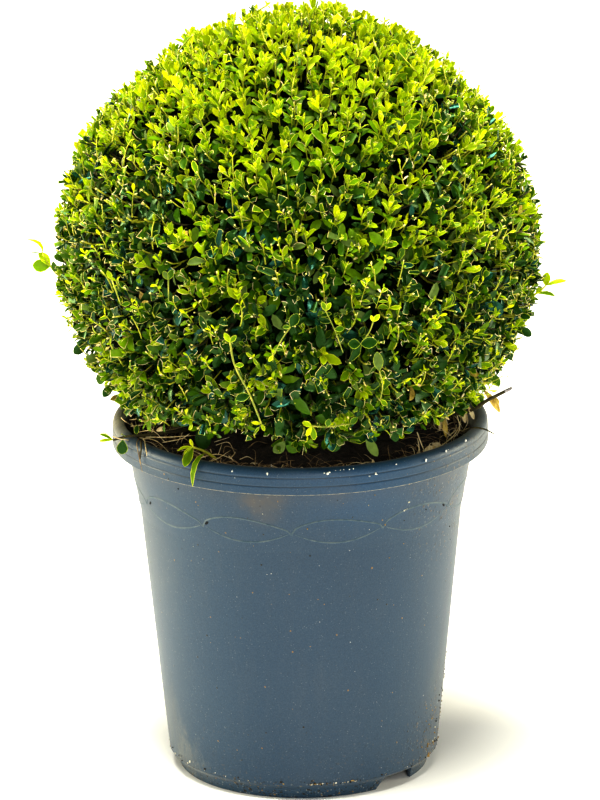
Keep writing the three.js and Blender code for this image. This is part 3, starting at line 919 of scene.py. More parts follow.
def stones(middles, sizes):  # rough little lumps, each from a jolted twenty-sided ball
    g = (1 + math.sqrt(5)) / 2
    corners = [(-1, g, 0), (1, g, 0), (-1, -g, 0), (1, -g, 0), (0, -1, g), (0, 1, g)]
    corners += [(0, -1, -g), (0, 1, -g), (g, 0, -1), (g, 0, 1), (-g, 0, -1), (-g, 0, 1)]
    faces = [(0, 11, 5), (0, 5, 1), (0, 1, 7), (0, 7, 10), (0, 10, 11), (1, 5, 9), (5, 11, 4)]
    faces += [(11, 10, 2), (10, 7, 6), (7, 1, 8), (3, 9, 4), (3, 4, 2), (3, 2, 6), (3, 6, 8)]
    faces += [(3, 8, 9), (4, 9, 5), (2, 4, 11), (6, 2, 10), (8, 6, 7), (9, 8, 1)]
    jolt = 0.7 + 0.6 * dice.random((len(middles), 12, 1))
    squash = 0.6 + 0.8 * dice.random((len(middles), 1, 3))
    corners = unit(np.array(corners, dtype=float))
    points = middles[:, None] + corners[None] * jolt * squash * sizes[:, None, None]
    allFaces = np.array(faces)[None] + (np.arange(len(middles)) * 12)[:, None, None]
    return points.reshape(-1, 3), allFaces.reshape(-1, 3)


rootNet = {  # radius in mm, then the places that each root or straw runs through
    "straw": [
        (0.7, [(-84, 131, 279), (-73, 131, 278), (-67, 133, 279), (-65, 128, 280), (-74, 117, 282)]),
        (0.6, [(-68, 125, 280), (-70, 108, 280), (-76, 90, 279)]),
        (0.5, [(-67, 132, 279), (-60, 138, 282), (-54, 146, 281), (-53, 147, 276)]),
        (0.45, [(-65, 130, 280), (-60, 126, 279), (-51, 130, 277)]),
        (0.5, [(-66, 130, 280), (-58, 120, 283), (-48, 108, 287)]),
        (0.4, [(-60, 122, 278), (-52, 116, 284), (-49, 112, 289)]),
        (0.4, [(-84, 139, 284), (-79, 138, 285), (-80, 132, 280)]),
        (0.45, [(-72, 94, 279), (-63, 104, 277), (-60, 111, 274)]),
        (0.4, [(-66, 166, 289), (-63, 157, 285), (-62, 149, 283)]),
        (0.4, [(-79, 133, 280), (-76, 120, 283), (-82, 108, 280)]),
        (0.4, [(-88, 132, 279), (-80, 124, 284), (-70, 118, 279)]),
        (0.35, [(-72, 134, 280), (-66, 124, 284), (-60, 120, 278)]),
        (0.5, [(-34, 112, 272), (-28, 118, 273), (-24, 127, 272)]),
        (0.4, [(-42, 120, 273), (-36, 110, 277), (-29, 108, 275)]),
        (0.35, [(-38, 124, 273), (-34, 116, 275), (-31, 104, 280)]),
        (0.3, [(-52, 84, 275), (-46, 76, 279)]),
        (0.3, [(-49, 86, 274), (-43, 81, 277), (-34, 90, 273)]),
        (0.3, [(-39, 100, 273), (-43, 88, 278)]),
        (0.45, [(-34, 98, 273), (-30, 102, 271)]),
        (0.5, [(-42, 103, 277), (-43, 100, 273)]),
        (0.35, [(-46, 59, 279), (-43, 52, 274)]),
        (0.4, [(-23, 94, 269), (-20, 97, 270)]),
        (0.35, [(-29, 96, 271), (-27, 90, 272), (-24, 89, 270)]),
        (0.4, [(-47, 100, 279), (-47, 106, 276), (-44, 115, 281)]),
        (0.45, [(95, 119, 276), (88, 122, 276), (84, 126, 272)]),
        (0.5, [(85, 121, 274), (78, 122, 274), (74, 118, 271), (68, 121, 269)]),
        (0.4, [(82, 122, 284), (77, 126, 276), (72, 122, 270)]),
        (0.35, [(88, 128, 283), (84, 130, 277), (80, 127, 272)]),
        (0.35, [(76, 128, 275), (72, 136, 281), (71, 146, 283)]),
        (0.4, [(58, 106, 278), (56, 110, 271), (55, 112, 265)]),
        (0.5, [(52, 120, 266), (60, 126, 268), (63, 131, 268)]),
        (0.35, [(33, 124, 272), (31, 126, 268), (29, 128, 266)]),
        (0.4, [(38, 122, 274), (36, 127, 268), (32, 130, 267)]),
        (0.6, [(42, 121, 274), (40, 124, 270), (36, 128, 268)]),
        (0.5, [(56, 108, 284), (55, 113, 276), (55, 117, 269)]),
        (0.4, [(70, 112, 284), (71, 118, 277), (73, 123, 272)]),
        (0.5, [(64, 120, 270), (72, 124, 274), (80, 126, 279)]),
    ],
    "root": [
        (0.4, [(-64, 138, 281), (-59, 146, 282), (-57, 148, 276), (-56, 148, 268)]),
        (0.35, [(-57, 147, 277), (-56, 148, 270), (-55, 148, 262)]),
        (0.4, [(-61, 108, 274), (-53, 113, 273)]),
        (0.4, [(-31, 120, 273), (-27, 113, 275), (-22, 117, 272)]),
        (0.4, [(-20, 128, 271), (-14, 120, 273), (-8, 125, 271)]),
        (0.35, [(2, 126, 270), (7, 118, 272), (13, 124, 270)]),
        (0.35, [(-39, 94, 273), (-41, 87, 276), (-35, 85, 274)]),
        (0.35, [(-32, 76, 274), (-30, 67, 277), (-25, 60, 274)]),
        (0.35, [(-8, 80, 275), (-6, 97, 273), (-6, 103, 271)]),
        (0.3, [(2, 84, 274), (5, 92, 271)]),
        (0.5, [(60, 112, 266), (66, 122, 269), (72, 128, 270)]),
        (0.45, [(46, 118, 272), (52, 124, 270), (58, 129, 271)]),
    ],
    "darkTwig": [
        (0.9, [(-62, 138, 281), (-58, 144, 283), (-56, 147, 280), (-56, 148, 272)]),
        (0.8, [(73, 130, 275), (70, 140, 283), (69, 151, 284), (69, 159, 281)]),
    ],
}

strays = {  # dead leaves and chips that lie on the soil: place, direction, length, width, tone
    "leaves": [
        ((80, 112, 286), (0.15, -0.5, -1), 19, 4, "dead"),
        ((82, 110, 286), (-0.1, -0.5, -1), 15, 3, "straw"),
        ((87, 125, 286), (0.3, -0.4, -1), 12, 4, "straw"),
        ((86, 130, 289), (0.5, -0.4, -1), 12, 3.5, "straw"),
        ((66, 111, 270), (0.6, -0.5, -0.2), 9, 6, "straw"),
        ((57, 116, 267), (-0.3, -0.5, 0.5), 7, 4, "straw"),
        ((49, 124, 268), (0.5, -0.4, 0.3), 7, 3, "dead"),
        ((54, 117, 272), (0.9, -0.5, 0.25), 10, 6.5, "straw"),
        ((50, 119, 270), (-0.2, -0.6, 0.5), 6, 4, "straw"),
        ((27, 123, 272), (-0.1, -0.4, 0.9), 7, 2.2, "straw"),
        ((38, 122, 268), (0.8, -0.5, 0.8), 9, 2.4, "straw"),
        ((90, 122, 288), (0.2, -0.4, -1), 11, 3, "cut"),
        ((62, 118, 270), (0.7, -0.5, 0.1), 8, 2.6, "cut"),
        ((-70, 118, 281), (0.5, -0.4, 0.3), 9, 4, "straw"),
        ((-44, 127, 273), (0.4, -0.6, -0.2), 7, 4, "straw"),
    ],
    "crumbs": [  # place and size
        (61, 144.6, 280, 1.0), (41, 145.6, 277, 1.0), (30, 145.2, 279, 0.6), (21, 145.6, 273, 0.6),
        (23, 145.6, 274.5, 0.8), (50, 145, 279, 0.7), (-21, 145.2, 278, 0.65), (-10, 145.4, 278, 0.8),
        (8, 145.4, 278, 1.1), (7, 145.4, 278.6, 0.9), (23.3, 145.6, 273.6, 0.6), (51, 145, 279.4, 0.5),
        (10.5, 145, 280, 0.45), (12, 145, 280, 0.45), (13, 145, 280.2, 0.45), (14.8, 145, 280, 0.45),
        (16, 145, 280.1, 0.45), (8.6, 145.4, 279, 0.8),
    ],
}

tufts = {  # from and to which angle, and how many
    "straw": [(-95, -48, 4), (-42, -22, 3), (40, 98, 14), (98, 265, 30)],
    "root": [(-95, -48, 3), (-48, 48, 6), (40, 98, 12), (98, 265, 30)],
}

clods = {  # dry dirt stuck to the foot: from and to which angle, from and to which height, how many
    "clodPale": [
        (2, 24, 12.6, 14.4, 16), (60, 88, 13, 40, 12),
        (-75, -40, 12, 18, 8), (-180, 180, 12, 15, 30),
    ],
    "clodTan": [
        (2, 24, 12.6, 14.6, 14), (66, 70, 11, 17, 12),
        (60, 90, 13, 60, 34), (-180, 180, 12, 15, 40),
    ],
    "clodDark": [
        (0, 30, 12.4, 14.6, 14), (74, 92, 13, 90, 40),
        (-80, -40, 12, 18, 10), (-180, 180, 12, 16, 40),
    ],
}

wallSpecks = {  # single bits of dirt on the wall: angle and height
    "clodPale": [
        (-13, 241), (-42, 204), (23, 245), (38, 235), (37.4, 234.6), (38.6, 235.4), (39, 241),
        (24, 224),
    ],
    "clodTan": [
        (14, 249), (2, 229), (-4, 209), (-37, 241), (-17, 213), (39, 206), (30, 226),
        (56, 239), (33, 197), (25, 253),
    ],
    "clodDark": [
        (-45, 251), (-48, 199), (8, 229), (3, 206), (48, 230), (12, 252), (8, 219),
        (38, 226), (69, 192), (67, 204),
    ],
}


def placeRoots():
    for kind, roots in rootNet.items():
        parts = []
        for low, high, count in tufts.get(kind, []):  # loose fibres that stand off the soil
            angle = between((low, high), count)
            radius = between(soilShape["tuftReach"], count)
            for degrees, reach in zip(angle, radius):
                x, y = reach * math.sin(math.radians(degrees)), -reach * math.cos(math.radians(degrees))
                foot = np.array([x, y, soilTop(x, y) + 1.5]) * mm
                lean = unit(dice.random(3) - np.array([0.5, 0.5, 0.15])) * (6 + 9 * dice.random()) * mm
                path = [foot, foot + lean * 0.5 + jitter(3) * 6 * mm, foot + lean]
                path = [p if np.hypot(p[0], p[1]) < soilShape["tuftLimit"] else foot * 0.98 for p in path]
                parts.append(limb(path, [0.4, 0.32, 0.18], 4, 4))
        for radius, places in roots:
            nodes = [fromFront(*place) for place in places]
            parts.append(limb(nodes, [radius, radius * 0.9, radius * 0.5], 6))
        makePiece(f"surface_{kind}", join(parts), kind)


def placeStrays():
    fallen = Leaves()
    for place, toward, length, width, toneName in strays["leaves"]:
        handLeaf(fallen, fromFront(*place), toward, length, width, toneName, (0.1, -1, 0.5), 0.4, 0.45)
    layLeaves("fallen_leaves", fallen)
    middles = np.array([fromFront(*crumb[:3]) for crumb in strays["crumbs"]])
    sizes = np.array([crumb[3] for crumb in strays["crumbs"]]) * mm
    makePiece("rim_crumbs", stones(middles, sizes), "grit", smooth=False)


def placeClods():
    footRadius = potShape["foot"][0] + 4
    for name, spots in clods.items():
        middles = [fromFront(angle, potWall(height) + 0.1, height) for angle, height in wallSpecks[name]]
        for low, high, bottom, top, count in spots:
            angle = between((low, high), count)
            height = between((bottom, top), count)
            radius = np.where(height < 13.2, footRadius + 0.12 * height, potWall(height)) + 0.1
            middles += [fromFront(*spot) for spot in zip(angle, radius, height)]
        sizes = (0.28 + 0.72 * dice.random(len(middles)) ** 2) * mm
        makePiece("foot_" + name, stones(np.array(middles), sizes), name, smooth=False)


def makeCrumbs():
    crumbs = onSoil(soilShape["crumbs"], soilShape["crumbRing"]) * mm
    sizes = (0.5 + 1.9 * dice.random(len(crumbs)) ** 2) * mm
    makePiece("soil_crumbs", stones(crumbs, sizes), "soil", smooth=False)


def makeFibres():
    count, ring = soilShape["fibres"], soilShape["fibreRing"]
    start = onSoil(count, ring)
    heading = anyAngle(count)
    length = between(soilShape["fibreLength"], count, 1.5)[:, None]
    end = start + direction(0 * heading, heading) * length
    end[:, :2] *= np.minimum(1, ring[1] / np.hypot(end[:, 0], end[:, 1]))[:, None]
    x, y = end[:, 0], end[:, 1]
    end[:, 2] = soilTop(x, y) + soilBump(x, y) + 3 * dice.random(count)
    middle = (start + end) / 2 + jitter(count, 3) * length * 0.6
    middle[:, 2] = np.maximum(start[:, 2], end[:, 2]) + 1 + 4 * dice.random(count)
    radius = 0.16 + 0.36 * dice.random(count) ** 2
    paths = bend(start * mm, middle * mm, end * mm, 6)
    radii = radius[:, None] * np.linspace(1, 0.45, 6)[None] * mm
    thick = radius > soilShape["thick"]
    for name, chosen, finish in (("root_fibres", ~thick, "root"), ("straw_bits", thick, "straw")):
        makePiece(name, tubes(paths[chosen], radii[chosen], 4), finish)


def makeGrit():
    grit = (onSoil(soilShape["grit"], soilShape["gritRing"]) + up * 0.8) * mm
    sizes = (0.6 + 0.9 * dice.random(len(grit))) * mm
    makePiece("soil_grit", stones(grit, sizes), "grit", smooth=False)


makeSoil()
makeCrumbs()
makeFibres()
placeRoots()
placeStrays()
placeClods()
makeGrit()
print("soil made")


ball = {
    "middle": np.array([0, 0, 416 * mm]),
    "radius": 186 * mm,
    "lowest": 286 * mm,
    "hem": [  # angle from the front, and the height that leaves stay above there
        (-180, 290), (-120, 290), (-80, 286), (-60, 294), (-48, 299), (-15, 303), (-8, 291), (6, 291),
        (12, 299), (60, 299), (100, 298), (130, 290), (180, 290),
    ],
    "core": 152 * mm,  # where the main twigs end and the shoots begin
    "boughs": 9,
    "sprays": 104,
    "shoots": 2850,
    "olderSides": [  # direction, reach and share of older leaves
        ((-0.75, -0.6, 0.2), 0.8, 0.8), ((0.72, -0.68, 0.1), 0.4, 0.5), ((0.9, -0.2, 0.4), 0.5, 0.4),
    ],
    "dents": [  # direction, reach and depth in mm of the places that are cut closer
        ((-0.57, 0, 0.82), 0.5, 7), ((0.72, 0, 0.69), 0.4, 6), ((-0.87, -0.05, -0.5), 0.35, 5),
        ((0.87, -0.05, -0.5), 0.35, 4),
    ],
}

limbRadii = {"trunk": (7.4, 7.0, 6.6), "bough": (5.4, 3.2), "twig": (2.8, 1.5), "link": (1.2, 0.8)}
stemLow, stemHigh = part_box("stem")
stemTop = np.array([1.8 * mm, 0, stemHigh[2]])

stemShape = {
    "around": 40,
    "rings": 26,
    "heights": [0, 4, 10, 22, 36],  # above its foot
    "radii": [17, 13.1, 11, 9.25, 7.5],
    "lean": 0.05,
}


def makeStem():
    around, rings = stemShape["around"], stemShape["rings"]
    height = stemLow[2] + np.linspace(0, 1, rings) * (stemHigh[2] - stemLow[2])
    rise = (height - stemLow[2]) / mm
    radius = np.interp(rise, stemShape["heights"], stemShape["radii"])
    angle = circle(around)
    lobe = 1 + 0.1 * np.cos(5 * angle)[None] * np.clip(1 - rise / 12, 0, 1)[:, None]
    ridges = 1 + 0.05 * np.sin(angle * 13 + 2 * np.sin(rise[:, None] * 0.5))
    spread = radius[:, None] * lobe * ridges * 0.97
    x = spread * np.cos(angle) + stemShape["lean"] * rise[:, None]
    z = np.repeat(height[:, None] / mm, around, axis=1)
    points = np.stack([x, spread * np.sin(angle), z], axis=-1).reshape(-1, 3) * mm
    stem = makePiece("stem_bark", (points, wallFaces(rings, around, False)), "bark")
    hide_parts("stem")


def sphereSpread(count, wander):  # directions spaced evenly round the ball by the golden angle
    index = np.arange(count)
    lowestRise = (ball["lowest"] + 2 * mm - ball["middle"][2]) / ball["radius"]
    rise = 1 - (index + 0.5) / count * (1 - lowestRise)
    return direction(rise, index * goldenAngle + wander * (seeded(index, 1) - 0.5))


def onBall(outward, radius):
    return ball["middle"] + outward * radius[:, None]


def outFrom(points):  # how far from the ball's middle
    return np.linalg.norm(points - ball["middle"], axis=-1)


def aboveHem(points, slack=0.0):  # the foot of the ball is higher at the front than at the sides
    angle = np.degrees(np.arctan2(points[:, 0], -points[:, 1]))
    places, heights = zip(*ball["hem"])
    return points[:, 2] > np.interp(angle, places, heights) * mm - slack


def makeBoughs():
    outward = sphereSpread(ball["sprays"], 0.3)
    feet = ball["middle"] + outward * ball["core"]
    forks = ball["middle"] + unit(sphereSpread(ball["boughs"], 0.0) + up * 0.3) * 62 * mm
    head = np.repeat((stemTop + up * 30 * mm)[None], len(forks), axis=0)
    lowPart = np.array([stemTop + up * rise * mm for rise in (0.3, 15, 32)])[None]
    trunk = tubes(lowPart, np.array([limbRadii["trunk"]]) * mm, 10)
    bough = tubes(bend(head, head + up * 25 * mm, forks, 7), taper(*limbRadii["bough"], 7, len(forks)), 7)
    start = forks[np.argmax(unit(feet - ball["middle"]) @ unit(forks - ball["middle"]).T, axis=1)]
    control = start + (feet - start) * 0.5 + up * 12 * mm
    twig = tubes(bend(start, control, feet, 8), taper(*limbRadii["twig"], 8, len(feet)), 5)
    makePiece("boughs", join([trunk, bough, twig]), "bark")
    return outward, feet


makeStem()
mainTwigs, twigFeet = makeBoughs()
print("stem and boughs made")


shootPlan = {
    "nodes": np.array([0.3, 3.2, 7.6, 12.8, 19.0, 26.0]) * mm,  # leaf pairs, back from the tip
    "open": np.radians([18, 34, 46, 56, 64, 72]),
    "length": np.array([7.0, 11.5, 14.0, 15.5, 15.5, 14.5]) * mm,
    "curl": np.array([-0.4, -0.25, 0.0, 0.25, 0.4, 0.5]),
    "reach": 46 * mm,  # how far below the surface a shoot leaves its twig
    "youngClipped": 0.2,
    "oldClipped": 0.72,
    "stemRadius": (0.62, 0.8),  # young and old
    "woody": 0.35,
    "toneSteps": (0.7, 0.46, 0.24, 0.02),  # youth and light from which a leaf is a bud, lime, fresh or mid
    "bluish": 0.3,
    "pale": 0.06,
    "dead": 0.004,
    "rimmed": (0.8, 0.55, 0.3),  # on young shoots, on old ones, and far from the tip
    "present": (0.97, 0.56),  # near the tip and farther back
}


def farFrom(outward, middle):
    return np.linalg.norm(outward - unit(np.array(middle)), axis=1)


def growShoots(leaves):
    count = ball["shoots"]
    outward = unit(sphereSpread(count, 0.1) + 0.07 * jitter(count, 3))
    rise = outward[:, 2]
    older = 0
    for middle, reach, share in ball["olderSides"]:
        older += share * np.clip(1 - farFrom(outward, middle) / reach, 0, 1)
    # more young shoots higher up: partly new growth, partly painted light, the top lighter as the overhead
    # light falls
    youngAndLitShare = np.clip(0.31 + 0.85 * rise + 0.2 * lumps(outward, 0.3, 8) - 0.3 * older, 0.15, 0.97)
    young = dice.random(count) < youngAndLitShare
    oldClipped = shootPlan["oldClipped"] + 0.4 * np.minimum(rise + 0.2, 0)
    clipped = dice.random(count) < np.where(young, shootPlan["youngClipped"], oldClipped)
    lift = np.clip(0.9 + rise, 0.15, 1.2) * (0.5 + dice.random(count))
    wild = np.where(dice.random(count) < 0.4, 1.5, 0.7)
    growth = unit(outward + up * lift[:, None] + wild[:, None] * jitter(count, 3))
    surface = ball["radius"] + (2.3 * lumps(outward, 0.35, 5) - 8 * np.clip(-0.25 - rise, 0, 0.4)) * mm
    for middle, reach, depth in ball["dents"]:
        surface -= depth * mm * np.clip(1.3 - 1.3 * farFrom(outward, middle) / reach, 0, 1)
    short = between((1, 14), count, 1.4) * mm
    tip = onBall(outward, np.where(clipped, surface + short * 0.7, surface - short))
    limit = np.where(clipped, surface - 6 * mm * dice.random(count), surface + 3.5 * mm)
    parent = np.argmax(outward @ mainTwigs.T, axis=1)
    inward = unit(outward * 0.75 + mainTwigs[parent] * 0.25)
    start = ball["middle"] + inward * (ball["radius"] - shootPlan["reach"])
    # tone lighter higher up: partly younger leaves, partly painted light
    youthAndLight = np.where(young, 0.62 + 0.13 * rise, 0.23 + 0.14 * rise) + 0.34 * jitter(count)
    shoots = {
        "start": start,
        "control": tip - growth * 24 * mm,
        "tip": tip,
        "limit": limit,
        "outward": outward,
        "clipped": clipped,
        "young": young,
        "youthAndLight": youthAndLight - (0.02 * outward[:, 0] + 0.17 * older),
        "bluish": ~young & (dice.random(count) < shootPlan["bluish"]),
        "roll": anyAngle(count),
        "size": (0.78 + 0.45 * dice.random(count)) * np.clip(1.0 - 0.22 * rise, 0.84, 1.2),
        "stretch": 0.75 + 0.6 * dice.random(count),
        "spread": 0.8 + 0.45 * dice.random(count),
    }
    for pair in range(len(shootPlan["nodes"])):
        growPair(leaves, pair, shoots)
    drawShoots(shoots)
    links = bend(twigFeet[parent], (twigFeet[parent] + start) / 2 + up * 2 * mm, start, 4)
    makePiece("twigs", tubes(links, taper(*limbRadii["link"], 4, count), 4), "bark")


def growPair(leaves, pair, shoots):
    start, control, tip, size = (shoots[name] for name in ("start", "control", "tip", "size"))
    rise, right = shoots["outward"][:, 2], shoots["outward"][:, 0]
    back = shootPlan["nodes"][pair] * size * shoots["stretch"]
    arcLength = 0.5 * (np.linalg.norm(control - start, axis=1) + np.linalg.norm(tip - start, axis=1))
    t = np.clip(1 - back / arcLength, 0, 1)[:, None]
    at = curve(start, control, tip, t)
    heading = unit(2 * (1 - t) * (control - start) + 2 * t * (tip - control))
    side, other = acrossFrom(heading, [0.31, 0.17, 0.93])
    count = len(at)
    for half in (0, 1):
        turn = shoots["roll"] + pair * math.pi / 2 + half * math.pi + 0.5 * jitter(count)
        opening = shootPlan["open"][pair] * shoots["spread"] + 0.35 * jitter(count)
        along = unit(swing(heading, swing(side, other, turn), opening) + 0.3 * jitter(count, 3))
        face = unit(heading + 0.7 * jitter(count, 3))
        length = shootPlan["length"][pair] * size * (0.8 + 0.4 * dice.random(count))
        width = length * (0.36 + 0.16 * dice.random(count))
        fold = 0.2 + 0.7 * dice.random(count)
        curl = shootPlan["curl"][pair] + 0.5 * jitter(count)
        # leaves further back from the tip are darker: partly older, partly painted shade deep in the ball
        fresh = shoots["youthAndLight"] - 0.12 * pair + 0.2 * jitter(count)
        toneOf = np.select([fresh > step for step in shootPlan["toneSteps"]], range(4), tone["deep"])
        bluish = shoots["bluish"] & (fresh < 0.12) & (dice.random(count) < 0.6)
        toneOf = np.where(bluish, tone["blue"], toneOf)
        toneOf = np.where((dice.random(count) < shootPlan["pale"]) & (toneOf > 1), tone["pale"], toneOf)
        toneOf = np.where((dice.random(count) < shootPlan["dead"]) & (rise < 0.5), tone["dead"], toneOf)
        length = np.where(toneOf == tone["dead"], 0.65 * length, length)
        keep, kept = clipLeaves(at, along, length, shoots["limit"])
        onYoung, onOld, farBack = shootPlan["rimmed"]
        edged = np.where(shoots["young"], onYoung, onOld) if pair < 3 else farBack
        rimmed = (pair < 4) & (dice.random(count) < edged)
        dry = rimmed & (dice.random(count) < np.clip(0.34 - 0.3 * rise - 0.4 * right, 0.1, 0.8))
        keep &= dice.random(count) < shootPlan["present"][0 if pair < 3 else 1]
        columns = (at, along, face, length, width, fold, curl, toneOf, kept, rimmed + 0.25 * dry)
        leaves.add(*(v[keep] for v in columns))


def clipLeaves(at, along, length, limit):  # the shears cut what stood out of the ball
    end = at + along * length[:, None]
    away, base = outFrom(end), outFrom(at)
    share = np.clip((limit - base) / np.maximum(away - base, 1e-6), 0.22, 1)
    kept = np.where(away > limit, share, 1.0)
    return (base < limit) & aboveHem(at) & aboveHem(end), np.where(kept > 0.93, 1.0, kept)


def drawShoots(shoots):
    start, control, tip, young = (shoots[name] for name in ("start", "control", "tip", "young"))
    count = len(start)
    steps = np.linspace(0, 1, 33)
    inside = outFrom(bend(start, control, tip, len(steps))) < shoots["limit"][:, None]
    stop = np.maximum(steps[np.maximum(inside.sum(axis=1) - 1, 1)], 0.3)
    share = np.linspace(0, 1, 6)[None, :, None] * stop[:, None, None]
    paths = curve(start[:, None], control[:, None], tip[:, None], share)
    thick = np.where(young, *shootPlan["stemRadius"]) * (0.85 + 0.3 * dice.random(count))
    radii = thick[:, None] * np.linspace(1.15, 0.75, 6)[None] * mm
    woody = ~young & (dice.random(count) < shootPlan["woody"])
    high = aboveHem(tip, -2 * mm) & aboveHem(paths[:, -1], -2 * mm) & aboveHem(paths[:, 3])
    for name, kind, finish in (("green_shoots", ~woody, "greenStem"), ("woody_shoots", woody, "darkTwig")):
        makePiece(name, tubes(paths[kind & high], radii[kind & high], 4), finish)
    shorn = dice.random(count) < 0.8 + 0.4 * np.minimum(shoots["outward"][:, 2], 0)
    cut = high & shoots["clipped"] & shorn
    foot = paths[cut, -1]
    heading = unit(paths[cut, -1] - paths[cut, -2])
    length = (0.6 + 1.8 * dice.random(len(foot)))[:, None] * mm
    stubs = np.stack([foot - heading * 0.4 * mm, foot + heading * length], axis=1)
    makePiece("clipped_ends", tubes(stubs, np.repeat(radii[cut, -1:] * 1.12, 2, axis=1), 5), "cut")


stalks = {
    "count": 820,
    "length": (8, 23),
    "radius": (0.4, 0.66),
    "sunk": (4, 13),
    "bare": 0.35,  # the share without leaves at their tips
    "dry": 0.12,
    "pairs": [  # where each pair of leaves stands along the stalk, and its tones
        (1.0, ("bud", "lime")),
        (0.8, ("lime", "fresh")),
        (0.55, ("fresh", "mid")),
        (0.3, ("fresh", "mid")),
    ],
}


def growStalks(leaves):  # thin upright shoots whose stems show at the face of the ball
    count = stalks["count"]
    outward = unit(sphereSpread(count, 0.6) + 0.1 * jitter(count, 3))
    outward = outward[dice.random(count) < np.clip(0.9 - 0.9 * outward[:, 2], 0.15, 1)]
    count = len(outward)
    start = onBall(outward, ball["radius"] - between(stalks["sunk"], count) * mm)
    rising = unit(up - outward * outward[:, 2:] + 0.5 * jitter(count, 3))
    length = between(stalks["length"], count, 1.5)[:, None] * mm
    end = start + rising * length
    end = onBall(unit(end - ball["middle"]), ball["radius"] + (3.5 * dice.random(count) - 3) * mm)
    middle = (start + end) / 2 + jitter(count, 3) * 0.32 * length
    keep = aboveHem(start) & aboveHem(end)
    start, middle, end, outward = (v[keep] for v in (start, middle, end, outward))
    count = len(start)
    radii = between(stalks["radius"], count)[:, None] * np.linspace(1.1, 0.8, 5)[None] * mm
    bare = dice.random(count) < stalks["bare"]
    makePiece("ball_stalks", tubes(bend(start, middle, end, 5), radii, 4), "greenStem")
    heading = unit(end - middle)
    beyond = 0.5 + 1.3 * dice.random((count, 1))
    stubs = np.stack([end - heading * 0.3 * mm, end + heading * beyond * mm], axis=1)[bare]
    makePiece("stalk_ends", tubes(stubs, np.repeat(radii[bare, -1:] * 1.15, 2, axis=1), 5), "cut")
    side, other = acrossFrom(heading, [0.2, 0.9, 0.37])
    roll = anyAngle(count)
    for pair, (place, tones) in enumerate(stalks["pairs"]):
        at = curve(start, middle, end, place)
        grown = ~bare if pair == 0 else dice.random(count) < 0.8
        for half in (0, 1):
            out = swing(side, other, roll + pair * math.pi / 2 + half * math.pi + 0.6 * jitter(count))
            along = unit(heading * (1.3 if pair == 0 else 0.75) + out + 0.4 * jitter(count, 3))
            face = unit(heading + outward * 0.5 + 0.5 * jitter(count, 3))
            size = (3.6 + 1.3 * pair + 3.0 * dice.random(count)) * mm
            toneOf = dice.choice([tone[name] for name in tones], count)
            dry = dice.random(count) < stalks["dry"]
            toneOf = np.where(dry, np.where(dice.random(count) < 0.5, tone["cut"], tone["straw"]), toneOf)
            size = np.where(dry, 0.6 * size, size)
            kept = grown & (dice.random(count) < 0.85)
            rimmed = 1.0 * (dice.random(count) < 0.25)
            chosen = [v[kept] for v in (at, along, face, size, size * (0.32 + 0.14 * dice.random(count)))]
            leaves.add(*chosen, 0.5, 0.3, toneOf[kept], 1.0, rimmed[kept])


shadeLeaves = {"count": 10000, "depth": (30, 58), "length": (17, 25), "width": 0.6}


def growShadeLeaves(leaves):  # older leaves, painted nearly black as shade, that close the ball behind its shoots
    count = shadeLeaves["count"]
    outward = unit(sphereSpread(count, 2.0) + 0.05 * jitter(count, 3))
    at = onBall(outward, ball["radius"] - between(shadeLeaves["depth"], count) * mm)
    along = unit(outward * 0.4 + 1.6 * jitter(count, 3))
    length = between(shadeLeaves["length"], count) * mm
    keep = aboveHem(at) & aboveHem(at + along * length[:, None])
    chosen = [v[keep] for v in (at, along, outward, length, shadeLeaves["width"] * length)]
    # painted shade: these leaves are nearly black
    leaves.add(*chosen, 0.3, 0.2, tone["inner"])


